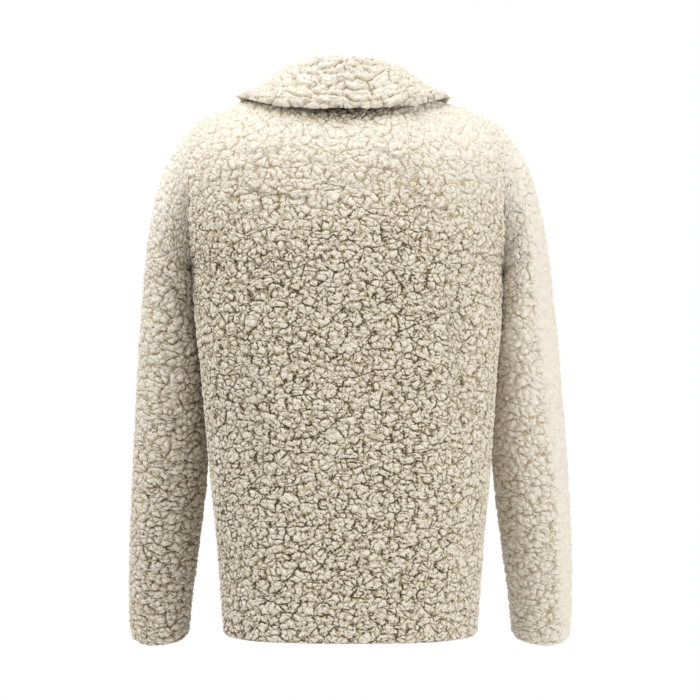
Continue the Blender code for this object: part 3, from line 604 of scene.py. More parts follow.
@dataclass(frozen=True)
class CurlPattern:
    """Curls of the pile in the plane of the cloth, the same in geometry and in materials.

    The pile parts into clumps, each clump into lobes and each lobe into buds. All three are
    cells of a Voronoi pattern on cloth coordinates that two noises have bent. A lobe or bud is
    a dome, 1 - (d / 0.72)^2 for a distance d from its middle in cells. Sizes are in millimetres.
    """

    clump: tuple[float, float] = (20.0, 12.5)
    lobe: tuple[float, float] = (7.4, 5.9)
    bud: tuple[float, float] = (3.3, 2.8)
    bend: float = 8.0
    bend_size: float = 16.0
    ripple: float = 2.6
    ripple_size: float = 6.0
    crimp: float = 1.25
    crimp_size: float = 1.9
    patch_size: float = 11.0
    clump_relief: float = 1.5
    lobe_relief: float = 2.2
    bud_relief: float = 0.6
    clump_shoulder: float = 2.4
    clump_crack: float = 1.8  # width of the crack beside a clump's edge, painted dark as shade
    clump_closed: float = 0.2
    clump_uneven: float = 1.0
    lobe_uneven: float = 0.7
    fine_share: float = 0.42  # of the height, that the shading repeats
    lobe_gap: float = 0.5  # how much darker the colour is painted between lobes, as shade
    bud_gap: float = 0.3
    lobe_shoulder: float = 2.4
    lobe_crack: float = 1.5
    lobe_closed: float = 0.1
    lobe_dark: float = 0.75
    join_size: float = 7.0
    fibre_size: float = 2.1  # single tufts of fibre, in the shading alone
    fibre_relief: float = 1.4
    fibre_tone: float = 1.1

    def measure(self, cloth: np.ndarray) -> dict[str, np.ndarray]:
        """Evaluate the pattern at cloth coordinates, with geometry nodes.

        Args:
            cloth: an array of pairs, in millimetres.

        Returns:
            Arrays of the same leading shape named height, fine, light and tone.
        """
        flat = cloth.reshape(-1, 2)
        mesh = bpy.data.meshes.new("pattern_points")
        mesh.vertices.add(len(flat))
        spots = np.concatenate([flat, np.zeros((len(flat), 1))], axis=1)
        mesh.vertices.foreach_set("co", spots.astype(np.float32).ravel())
        holder = bpy.data.objects.new("pattern_points", mesh)
        bpy.context.scene.collection.objects.link(holder)
        tree = bpy.data.node_groups.new("pattern_reader", "GeometryNodeTree")
        tree.interface.new_socket("Geometry", in_out="INPUT", socket_type="NodeSocketGeometry")
        tree.interface.new_socket("Geometry", in_out="OUTPUT", socket_type="NodeSocketGeometry")
        made = tree.nodes.new("NodeGroupInput").outputs["Geometry"]
        values = self.add_nodes(tree, tree.nodes.new("GeometryNodeInputPosition").outputs["Position"])
        for name, value in values.items():
            store = tree.nodes.new("GeometryNodeStoreNamedAttribute")
            store.data_type = "FLOAT"
            store.domain = "POINT"
            store.inputs["Name"].default_value = name
            tree.links.new(made, store.inputs["Geometry"])
            tree.links.new(value, store.inputs["Value"])
            made = store.outputs["Geometry"]
        tree.links.new(made, tree.nodes.new("NodeGroupOutput").inputs["Geometry"])
        holder.modifiers.new("pattern", "NODES").node_group = tree
        bpy.context.view_layer.update()
        shown = holder.evaluated_get(bpy.context.evaluated_depsgraph_get()).data
        result = {}
        for name in values:
            found = np.zeros(len(flat), np.float32)
            shown.attributes[name].data.foreach_get("value", found)
            result[name] = found.astype(float).reshape(cloth.shape[:-1])
        bpy.data.objects.remove(holder)
        bpy.data.meshes.remove(mesh)
        bpy.data.node_groups.remove(tree)
        return result

    def add_nodes(self, tree: bpy.types.NodeTree, cloth: bpy.types.NodeSocket) -> dict:
        """Add the pattern's nodes to a geometry or shader tree.

        Args:
            tree: the node tree.
            cloth: a socket that gives cloth coordinates in millimetres.

        Returns:
            The sockets of height (mm), fine height (mm), light (0 to 1, the curls' painted shade) and tone (0 to
            1).
        """
        nodes = NodeChain(tree)
        bent = cloth
        for size, reach in ((self.bend_size, self.bend), (self.ripple_size, self.ripple),
                            (self.crimp_size, self.crimp)):
            noise = nodes.noise(nodes.scaled(cloth, 1.0 / size), detail=0.0)
            bent = nodes.vector("ADD", bent, nodes.scaled(nodes.centred(noise), reach))
        open_clump = nodes.ramp(nodes.value_noise(nodes.scaled(cloth, 1.0 / self.patch_size)), 0.35, 0.65)
        open_lobe = nodes.ramp(nodes.value_noise(nodes.scaled(bent, 1.0 / self.join_size)), 0.38, 0.62)
        clump = nodes.cells(nodes.stretched(bent, self.clump))
        lobe = nodes.cells(nodes.stretched(bent, self.lobe))
        bud = nodes.dome(nodes.cells(nodes.stretched(bent, self.bud))["distance"])
        clump_edge, lobe_edge = (
            nodes.math("MULTIPLY", nodes.edge(nodes.stretched(bent, size)), sum(size) / 2.0)
            for size in (self.clump, self.lobe))
        lobe_dome = nodes.dome(lobe["distance"])
        puff = nodes.math("ADD", nodes.math("MULTIPLY", nodes.ramp(lobe_edge, 0.0, self.lobe_shoulder), 0.5),
                          nodes.math("MULTIPLY", lobe_dome, 0.5))
        height = nodes.total([
            nodes.math("MULTIPLY", nodes.ramp(clump_edge, 0.0, self.clump_shoulder), self.clump_relief),
            nodes.math("MULTIPLY", puff, self.lobe_relief),
            nodes.math("MULTIPLY", nodes.centre(clump["random"]), self.clump_uneven),
            nodes.math("MULTIPLY", nodes.centre(lobe["random"]), self.lobe_uneven),
        ])
        fine = nodes.math("MULTIPLY", height, self.fine_share)
        fine = nodes.math("ADD", fine, nodes.math("MULTIPLY", bud, self.bud_relief))
        # The light paints shade into the colour: darker toward each dome's foot and in the cracks between clumps
        # and lobes.
        light = nodes.math("MULTIPLY", nodes.held(lobe_dome, self.lobe_gap), nodes.held(bud, self.bud_gap))
        for edge, crack, opened, closed, dark in (
                (clump_edge, self.clump_crack, open_clump, self.clump_closed, 1.0),
                (lobe_edge, self.lobe_crack, open_lobe, self.lobe_closed, self.lobe_dark)):
            gap = nodes.math("ADD", closed * dark, nodes.math("MULTIPLY", opened, (1.0 - closed) * dark))
            shut = nodes.math("SUBTRACT", 1.0, nodes.ramp(edge, 0.0, crack))
            light = nodes.math("MULTIPLY", light, nodes.math("SUBTRACT", 1.0, nodes.math("MULTIPLY", shut, gap)))
        tone = nodes.math("MULTIPLY", nodes.math("ADD", clump["random"], lobe["random"]), 0.5)
        return {"height": height, "fine": fine, "light": light, "tone": tone}


class NodeChain:
    """Short calls that add and join the nodes of one tree."""

    def __init__(self, tree: bpy.types.NodeTree) -> None:
        """Keep the tree that the nodes go into."""
        self.tree = tree

    def feed(self, socket: bpy.types.NodeSocket, value: object) -> None:
        """Link a socket to an input, or set a plain value on it."""
        if isinstance(value, bpy.types.NodeSocket):
            self.tree.links.new(value, socket)
        else:
            socket.default_value = value

    def math(self, operation: str, first: object, second: object = 0.0) -> bpy.types.NodeSocket:
        """Result of a Math node."""
        node = self.tree.nodes.new("ShaderNodeMath")
        node.operation = operation
        self.feed(node.inputs[0], first)
        self.feed(node.inputs[1], second)
        return node.outputs[0]

    def vector(self, operation: str, first: object, second: object) -> bpy.types.NodeSocket:
        """Result of a Vector Math node."""
        node = self.tree.nodes.new("ShaderNodeVectorMath")
        node.operation = operation
        self.feed(node.inputs[0], first)
        self.feed(node.inputs[1], second)
        return node.outputs[0]

    def scaled(self, value: object, factor: float) -> bpy.types.NodeSocket:
        """A vector times one number."""
        return self.vector("MULTIPLY", value, (factor, factor, 0.0))

    def stretched(self, value: object, cell: tuple[float, float]) -> bpy.types.NodeSocket:
        """A vector divided by a cell's width and height."""
        return self.vector("MULTIPLY", value, (1.0 / cell[0], 1.0 / cell[1], 0.0))

    def centred(self, value: object) -> bpy.types.NodeSocket:
        """A noise colour moved to lie about zero."""
        return self.vector("SUBTRACT", value, (0.5, 0.5, 0.5))

    def noise(self, place: object, detail: float) -> bpy.types.NodeSocket:
        """Colour of a 2-D noise."""
        node = self.tree.nodes.new("ShaderNodeTexNoise")
        node.noise_dimensions = "2D"
        self.feed(node.inputs["Vector"], place)
        node.inputs["Scale"].default_value = 1.0
        node.inputs["Detail"].default_value = detail
        return node.outputs["Color"]

    def ramp(self, value: object, low: float, high: float) -> bpy.types.NodeSocket:
        """A value eased from 0 at low to 1 at high."""
        node = self.tree.nodes.new("ShaderNodeMapRange")
        node.interpolation_type = "SMOOTHSTEP"
        self.feed(node.inputs["Value"], value)
        node.inputs["From Min"].default_value = low
        node.inputs["From Max"].default_value = high
        return node.outputs["Result"]

    def centre(self, value: object) -> bpy.types.NodeSocket:
        """A value of 0 to 1 moved to lie about zero."""
        return self.math("SUBTRACT", value, 0.5)

    def total(self, values: list) -> bpy.types.NodeSocket:
        """Sum of several values."""
        result = values[0]
        for value in values[1:]:
            result = self.math("ADD", result, value)
        return result

    def dome(self, distance: object) -> bpy.types.NodeSocket:
        """1 - (d / 0.72)^2, held at 0 and above."""
        share = self.math("DIVIDE", distance, 0.72)
        left = self.math("SUBTRACT", 1.0, self.math("MULTIPLY", share, share))
        return self.math("MAXIMUM", left, 0.0)

    def held(self, dome: object, gap: float) -> bpy.types.NodeSocket:
        """A dome's light: 1 at its top and 1 - gap at its foot."""
        return self.math("ADD", 1.0 - gap, self.math("MULTIPLY", dome, gap))

    def value_noise(self, place: object) -> bpy.types.NodeSocket:
        """Value of a 2-D noise, 0 to 1."""
        node = self.tree.nodes.new("ShaderNodeTexNoise")
        node.noise_dimensions = "2D"
        self.feed(node.inputs["Vector"], place)
        node.inputs["Scale"].default_value = 1.0
        return node.outputs[0]

    def edge(self, place: object) -> bpy.types.NodeSocket:
        """Distance to the nearest edge between the cells of a 2-D Voronoi pattern."""
        node = self.tree.nodes.new("ShaderNodeTexVoronoi")
        node.voronoi_dimensions = "2D"
        node.feature = "DISTANCE_TO_EDGE"
        self.feed(node.inputs["Vector"], place)
        node.inputs["Scale"].default_value = 1.0
        return node.outputs["Distance"]

    def cells(self, place: object) -> dict[str, bpy.types.NodeSocket]:
        """A 2-D Voronoi pattern: the distance from a cell's middle and a random value per cell."""
        node = self.tree.nodes.new("ShaderNodeTexVoronoi")
        node.voronoi_dimensions = "2D"
        self.feed(node.inputs["Vector"], place)
        node.inputs["Scale"].default_value = 1.0
        parted = self.tree.nodes.new("ShaderNodeSeparateXYZ")
        self.tree.links.new(node.outputs["Color"], parted.inputs[0])
        return {"distance": node.outputs["Distance"], "random": parted.outputs[0]}


@dataclass(frozen=True)
class FleeceFinish:
    """Curly pile: cream tips, olive-brown valleys partly of darker pile and partly painted shade, a soft matt
    sheen.
    """

    tip: tuple[float, float, float] = (0.885, 0.825, 0.71)
    shade: tuple[float, float, float] = (0.58, 0.485, 0.335)
    # valley: colour in the hollows, partly the pile's own darker depth and partly painted shade
    valley: tuple[float, float, float] = (0.085, 0.062, 0.028)
    pit: float = 0.08  # lights of the darkest valley, the shaded slope and the tip
    slope: float = 0.48
    top: float = 0.8
    tone_share: float = 0.16
    roughness: float = 0.92
    sheen: float = 0.2
    sheen_tint: tuple[float, float, float] = (1.0, 0.93, 0.8)

    def build(self, name: str, pattern: CurlPattern) -> bpy.types.Material:
        """Material of the pile, whose curls are those of the pattern."""
        material = bpy.data.materials.new(name)
        material.use_nodes = True
        tree = material.node_tree
        nodes = NodeChain(tree)
        shader = tree.nodes["Principled BSDF"]
        place = tree.nodes.new("ShaderNodeUVMap")
        place.uv_map = CLOTH_MAP
        group = tree.nodes.new("ShaderNodeGroup")
        group.node_tree = curl_group(pattern)
        tree.links.new(place.outputs["UV"], group.inputs["Cloth"])
        light = nodes.math("MULTIPLY", nodes.centre(group.outputs["Tone"]), self.tone_share)
        light = nodes.math("ADD", group.outputs["Light"], light)
        # The attribute read here sets how much of the painted crevice shade shows; a lower value paints the pile
        # lighter where the lights fall. It also scales the bump.
        opened = tree.nodes.new("ShaderNodeAttribute")
        opened.attribute_name = CREVICE_SHADE
        dark = nodes.math("MULTIPLY", nodes.math("SUBTRACT", 1.0, light), opened.outputs["Fac"])
        light = nodes.math("SUBTRACT", 1.0, dark)
        rise = nodes.ramp(light, self.pit, self.slope)
        crest = nodes.ramp(light, self.slope, self.top)
        colour = self.mixed(tree, rise, self.valley, self.shade)
        colour = self.mixed(tree, crest, colour, self.tip)
        # Painted shade: the colour goes toward the valley colour in creases, below the collar's fall, on the
        # sleeves' side toward the body and along the collar's turned edge.
        painted_shade = tree.nodes.new("ShaderNodeAttribute")
        painted_shade.attribute_name = PAINTED_SHADE
        colour = self.mixed(tree, painted_shade.outputs["Fac"], colour, self.valley)
        tree.links.new(colour, shader.inputs["Base Color"])
        bump = tree.nodes.new("ShaderNodeBump")
        bump.inputs["Distance"].default_value = MM
        bump.inputs["Strength"].default_value = 1.0
        share = nodes.math("ADD", 0.4, nodes.math("MULTIPLY", opened.outputs["Fac"], 0.6))
        fine = nodes.math("MULTIPLY", group.outputs["Fine Height"], share)
        tree.links.new(fine, bump.inputs["Height"])
        tree.links.new(bump.outputs["Normal"], shader.inputs["Normal"])
        shader.inputs["Roughness"].default_value = self.roughness
        shader.inputs["Sheen Weight"].default_value = self.sheen
        shader.inputs["Sheen Roughness"].default_value = 0.45
        shader.inputs["Sheen Tint"].default_value = (*self.sheen_tint, 1.0)
        shader.inputs["Specular IOR Level"].default_value = 0.2
        return material

    @staticmethod
    def mixed(tree: bpy.types.NodeTree, factor: object, first: object, second: object) -> object:
        """Colour that goes from first to second as factor goes from 0 to 1."""
        node = tree.nodes.new("ShaderNodeMix")
        node.data_type = "RGBA"
        nodes = NodeChain(tree)
        nodes.feed(node.inputs[0], factor)
        for socket, value in ((node.inputs[6], first), (node.inputs[7], second)):
            nodes.feed(socket, (*value, 1.0) if isinstance(value, tuple) else value)
        return node.outputs[2]


CLOTH_MAP = "cloth"
# Attribute names: the painted shade, and the share of the painted crevice shade.
PAINTED_SHADE = "painted_shade"
CREVICE_SHADE = "crevice_shade"


def curl_group(pattern: CurlPattern) -> bpy.types.NodeTree:
    """Shader group that gives a pattern's light, tone and fine height from cloth coordinates."""
    tree = bpy.data.node_groups.new("curls", "ShaderNodeTree")
    tree.interface.new_socket("Cloth", in_out="INPUT", socket_type="NodeSocketVector")
    for name in ("Light", "Tone", "Fine Height"):
        tree.interface.new_socket(name, in_out="OUTPUT", socket_type="NodeSocketFloat")
    nodes = NodeChain(tree)
    cloth = nodes.scaled(tree.nodes.new("NodeGroupInput").outputs["Cloth"], 1.0 / MM)
    values = pattern.add_nodes(tree, cloth)
    grain = nodes.value_noise(nodes.scaled(cloth, 1.0 / pattern.fibre_size))
    fine = nodes.math("ADD", values["fine"], nodes.math("MULTIPLY", grain, pattern.fibre_relief))
    fuzz = nodes.math("MULTIPLY", nodes.centre(grain), pattern.fibre_tone)
    output = tree.nodes.new("NodeGroupOutput")
    tree.links.new(nodes.math("ADD", values["light"], fuzz), output.inputs["Light"])
    tree.links.new(values["tone"], output.inputs["Tone"])
    tree.links.new(fine, output.inputs["Fine Height"])
    return tree


@dataclass(frozen=True)
class BackingFinish:
    """Plain brushed ground of the cloth, on the inside."""

    colour: tuple[float, float, float] = (0.62, 0.55, 0.44)
    shade: tuple[float, float, float] = (0.50, 0.43, 0.33)
    roughness: float = 0.95

    def build(self, name: str) -> bpy.types.Material:
        """Material of fine knitted ribs, softened by brushing."""
        material = bpy.data.materials.new(name)
        material.use_nodes = True
        tree = material.node_tree
        nodes = NodeChain(tree)
        shader = tree.nodes["Principled BSDF"]
        place = tree.nodes.new("ShaderNodeUVMap")
        place.uv_map = CLOTH_MAP
        wave = tree.nodes.new("ShaderNodeTexWave")
        wave.inputs["Scale"].default_value = 1.0 / (4.0 * MM)
        wave.inputs["Distortion"].default_value = 1.2
        tree.links.new(place.outputs["UV"], wave.inputs["Vector"])
        soft = nodes.noise(nodes.scaled(place.outputs["UV"], 1.0 / (6.0 * MM)), detail=3.0)
        colour = FleeceFinish.mixed(tree, soft, self.shade, self.colour)
        tree.links.new(colour, shader.inputs["Base Color"])
        bump = tree.nodes.new("ShaderNodeBump")
        bump.inputs["Distance"].default_value = 0.4 * MM
        tree.links.new(wave.outputs["Fac"], bump.inputs["Height"])
        tree.links.new(bump.outputs["Normal"], shader.inputs["Normal"])
        shader.inputs["Roughness"].default_value = self.roughness
        return material


@dataclass(frozen=True)
class Crease:
    """A crack or soft fold placed on a face: a smooth trough along a bowed line.

    Places are x toward the wearer's left and z, in millimetres. A negative depth is a ridge.
    """

    face: Face
    side: Side
    start: tuple[float, float]
    end: tuple[float, float]
    width: float
    depth: float
    bow: float = 0.0

    @property
    def shade_per_mm(self) -> float:
        """Painted shade for each millimetre of depth: a narrow crack is painted dark, a wide fold is not."""
        return 0.13 if self.width < 3.0 else 0.03

    def depths(self, form: np.ndarray, normal: np.ndarray, mirrored: bool) -> np.ndarray:
        """Depth at each grid point, with the ends and the other face faded out."""
        x = -form[..., 0] if mirrored else form[..., 0]
        run = np.subtract(self.end, self.start)
        length = float(np.hypot(*run))
        east, north = run / length
        along = (x - self.start[0]) * east + (form[..., 2] - self.start[1]) * north
        aside = (form[..., 2] - self.start[1]) * east - (x - self.start[0]) * north
        aside = aside - self.bow * (1.0 - (2.0 * along / length - 1.0) ** 2)
        ends = ease(along / (0.3 * length)) * ease((length - along) / (0.3 * length))
        facing = ease(normal[..., 1] * self.face.value / 0.25)
        return self.depth * ends * facing * np.exp(-((aside / self.width) ** 2))


@dataclass
class Edges:
    """What each side of a piece's grid is: the distance field from it and whether it is free.

    free_low_row and the others are the widths over which a free edge rounds over, or None for a
    sewn edge.
    """

    first_row: float | None = None
    last_row: float | None = None
    first_column: float | None = None
    last_column: float | None = None
    sewn: tuple[str, ...] = ()


@dataclass
class ShellPiece:
    """One cut piece as a closed shell: form, edges, curls and mesh."""

    name: str
    nodes: tuple[str, ...]
    form: np.ndarray
    wall: np.ndarray
    sign: int
    edges: Edges
    pattern: CurlPattern
    origin: tuple[float, float]
    zero_column: int = 0
    zero_row: int = 0
    tube: bool = False
    mirrored: bool = False
    turned: bool = False
    level: bool = False
    quiet: np.ndarray | None = None
    # share of the painted crevice shade at each point, full where None
    crevice_shade: np.ndarray | None = None
    fluff: np.ndarray | None = None
    creases: tuple[Crease, ...] = ()
    # painted shade at each point, toward the valley colour
    shaded: np.ndarray | None = None
    rests_on: tuple[str, ...] = ()
    report: dict = field(default_factory=dict)

    def distances(self) -> dict[str, np.ndarray]:
        """Distance of each grid point from the four sides of the piece, along the cloth."""
        rows, columns = lengths(self.form, 0), lengths(self.form, 1)
        return {
            "first_row": rows,
            "last_row": rows[-1:] - rows,
            "first_column": columns,
            "last_column": columns[:, -1:] - columns,
        }

    def sunk_edges(self) -> tuple[np.ndarray, np.ndarray, np.ndarray]:
        """How far the outer face sinks and the inner face rises, and the pile's share.

        At a free edge both faces go to the middle of the wall as quarter-ellipses. At a seam
        the outer face sinks a little and the wall thins.
        """
        sink = np.zeros(self.form.shape[:2])
        rise = np.zeros(self.form.shape[:2])
        pile = np.ones(self.form.shape[:2])
        half = self.wall / 2.0 - CLOTH.edge_slit
        for name, distance in self.distances().items():
            turn = getattr(self.edges, name)
            if turn is not None:
                inside = np.clip(1.0 - distance / turn, 0.0, 1.0)
                bend = half * (1.0 - np.sqrt(1.0 - inside**2))
                sink, rise = np.maximum(sink, bend), np.maximum(rise, bend)
                pile = np.minimum(pile, CLOTH.edge_pile + (1.0 - CLOTH.edge_pile) * ease(distance / turn))
            elif name in self.edges.sewn:
                near = 1.0 - ease(distance / CLOTH.seam_reach)
                sink = np.maximum(sink, CLOTH.seam_sink * near)
                rise = np.maximum(rise, (self.wall - CLOTH.seam_wall) * near)
                pile = np.minimum(pile, 1.0 - (1.0 - CLOTH.seam_pile) * near)
        return sink, rise, pile

    def lap(self) -> np.ndarray:
        """Small reach of the pile over each sewn edge, along the cloth, so that no groove opens."""
        form = self.form
        outward = {
            "first_row": (form[:1] - form[2:3]), "last_row": (form[-1:] - form[-3:-2]),
            "first_column": (form[:, :1] - form[:, 2:3]), "last_column": (form[:, -1:] - form[:, -3:-2]),
        }
        total = np.zeros_like(form)
        for name, distance in self.distances().items():
            if name in self.edges.sewn and not (self.tube and "column" in name):
                near = CLOTH.seam_lap * (1.0 - ease(distance / CLOTH.seam_reach))
                total = total + unit(outward[name]) * near[..., None]
        return total

    def cloth_places(self, outer: np.ndarray) -> np.ndarray:
        """Cloth coordinates: arc length across from one column, and along from one row.

        On a level piece the length along leaves out each step's part that runs along the row,
        because the columns slide sideways at the armhole.
        """
        across = lengths(outer, 1, self.zero_column)
        up = lengths(outer, 0, self.zero_row)
        if self.level:
            steps = np.diff(outer, axis=0)
            row = unit(np.gradient(outer, axis=1))[1:]
            steps = steps - row * np.sum(steps * row, axis=-1, keepdims=True)
            up[1:] = np.cumsum(np.linalg.norm(steps, axis=-1), axis=0)
        if self.mirrored:
            across = -across
        if self.turned:
            across, up = up, -across
        return np.stack([across + self.origin[0], up + self.origin[1]], axis=-1)

    def build(self, materials: list[bpy.types.Material]) -> bpy.types.Object:
        """Raise the curls and make the closed mesh.

        The outer face is the form, less the ground's depth under the pile, plus the pattern's
        height along the normal. The inner face is the form less the wall, on every fourth row
        and column.

        Args:
            materials: the pile's material and the backing's.

        Returns:
            The object, in metres, at the origin.
        """
        sink, rise, pile = self.sunk_edges()
        out = grid_normals(self.form, self.sign)
        outer = self.form - out * sink[..., None]
        normal = grid_normals(outer, self.sign)
        cloth = self.cloth_places(self.form)
        height = np.mean([
            self.pattern.measure(cloth + shift)["height"] for shift in SAMPLE_SHIFTS
        ], axis=0)
        if self.quiet is not None:
            pile = pile * self.quiet
        lift = (height - CLOTH.pile_sink) * pile
        if self.fluff is not None:
            lift = lift + self.fluff
        # Painted shade: the creases' troughs are coloured darker, most in narrow cracks, and so is the piece's
        # shaded field.
        painted_shade = np.zeros_like(lift)
        for crease in self.creases:
            trough = crease.depths(self.form, out, self.mirrored)
            lift = lift - trough
            painted_shade = np.maximum(painted_shade, trough * crease.shade_per_mm)
        if self.shaded is not None:
            painted_shade = np.maximum(painted_shade, self.shaded)
        if self.tube:
            seam = np.minimum(lift[:, 0], lift[:, -1])
            lift[:, 0] = lift[:, -1] = seam
        raised = outer + normal * lift[..., None] + self.lap()
        inner = (self.form - out * (self.wall - rise)[..., None])[::COARSE, ::COARSE]
        area = float(np.linalg.norm(np.cross(
            np.diff(self.form, axis=0)[:, :-1], np.diff(self.form, axis=1)[:-1]), axis=-1).sum())
        self.report = {
            "flat": (float(lengths(self.form, 1)[:, -1].max()), float(lengths(self.form, 0)[-1].max())),
            "area": area,
        }
        # full painted crevice shade where the piece gives no share
        crevice_shade = np.ones_like(lift) if self.crevice_shade is None else self.crevice_shade
        return self.mesh(raised, inner, cloth, {PAINTED_SHADE: painted_shade, CREVICE_SHADE: crevice_shade}, materials)

    def mesh(
        self,
        outer: np.ndarray,
        inner: np.ndarray,
        cloth: np.ndarray,
        fields: dict[str, np.ndarray],
        materials: list[bpy.types.Material],
    ) -> bpy.types.Object:
        """Join the two faces by a rim and make the object.

        Args:
            outer: grid of the outer face, in millimetres.
            inner: coarser grid of the inner face.
            cloth: cloth coordinates of the outer grid.
            fields: values at the outer grid's points, by attribute name.
            materials: the pile's material and the backing's.

        Returns:
            The finished object.
        """
        rows, columns = outer.shape[:2]
        fine = np.arange(rows * columns).reshape(rows, columns)
        coarse = rows * columns + np.arange(inner.shape[0] * inner.shape[1]).reshape(inner.shape[:2])
        flip = (self.sign < 0) != self.mirrored
        quads = self.quads(fine, flip)
        backing = self.quads(coarse, not flip)
        rim = self.rim(fine, coarse, flip)
        points = np.concatenate([outer.reshape(-1, 3), inner.reshape(-1, 3)])
        if self.mirrored:
            points = points * np.array([-1.0, 1.0, 1.0])
        points = swayed(points) * MM
        same = np.arange(len(points))
        if self.tube:
            same[fine[:, -1]] = fine[:, 0]
            same[coarse[:, -1]] = coarse[:, 0]
        places = np.concatenate([cloth.reshape(-1, 2), cloth[::COARSE, ::COARSE].reshape(-1, 2)]) * MM
        corners = [quads, backing, rim]
        loops = np.concatenate([part.ravel() for part in corners])
        sizes = np.concatenate([np.full(len(part), part.shape[1]) for part in corners])
        kinds = np.concatenate([np.full(len(part), kind) for part, kind in zip(corners, (0, 1, 0))])
        used, index = np.unique(same[loops], return_inverse=True)
        mesh = bpy.data.meshes.new(self.name)
        mesh.vertices.add(len(used))
        mesh.vertices.foreach_set("co", points[used].astype(np.float32).ravel())
        mesh.loops.add(len(loops))
        mesh.loops.foreach_set("vertex_index", index.reshape(-1).astype(np.int32))
        mesh.polygons.add(len(sizes))
        starts = np.concatenate([[0], np.cumsum(sizes)[:-1]])
        mesh.polygons.foreach_set("loop_start", starts.astype(np.int32))
        mesh.polygons.foreach_set("material_index", kinds.astype(np.int32))
        uv = mesh.uv_layers.new(name=CLOTH_MAP, do_init=False)
        uv.uv.foreach_set("vector", places[loops].astype(np.float32).ravel())
        for name, values in fields.items():
            attribute = mesh.attributes.new(name, "FLOAT", "POINT")
            whole = np.concatenate([values.ravel(), np.zeros(inner.shape[0] * inner.shape[1])])
            attribute.data.foreach_set("value", whole[used].astype(np.float32))
        mesh.update(calc_edges=True)
        mesh.validate()
        mesh.shade_smooth()
        for material in materials:
            mesh.materials.append(material)
        made = bpy.data.objects.new(self.name, mesh)
        bpy.context.scene.collection.objects.link(made)
        return made

    @staticmethod
    def quads(index: np.ndarray, flip: bool) -> np.ndarray:
        """Corners of a grid's quads, turned over if flip."""
        made = np.stack([index[:-1, :-1], index[1:, :-1], index[1:, 1:], index[:-1, 1:]], axis=-1)
        made = made.reshape(-1, 4)
        return made[:, ::-1] if flip else made

    def rim(self, fine: np.ndarray, coarse: np.ndarray, flip: bool) -> np.ndarray:
        """Triangles between the outer and inner faces' edges, a fan for each coarse step."""
        sides = [(fine[0], coarse[0], True), (fine[-1], coarse[-1], False)]
        if not self.tube:
            sides += [(fine[:, 0], coarse[:, 0], False), (fine[:, -1], coarse[:, -1], True)]
        made = []
        for outer_line, inner_line, forward in sides:
            first, second = outer_line[:-1], outer_line[1:]
            step = np.arange(len(first)) // COARSE
            late = np.arange(len(first)) % COARSE >= COARSE // 2
            corner = np.where(late, inner_line[step + 1], inner_line[step])
            fans = np.stack([first, second, corner], axis=1)
            middle = outer_line[COARSE // 2::COARSE]
            joins = np.stack([middle, inner_line[1:], inner_line[:-1]], axis=1)
            part = np.concatenate([fans, joins])
            made.append(part if forward != flip else part[:, ::-1])
        return np.concatenate(made)


SAMPLE_SHIFTS = tuple(np.array([a, b]) for a in (-0.45, 0.45) for b in (-0.45, 0.45))


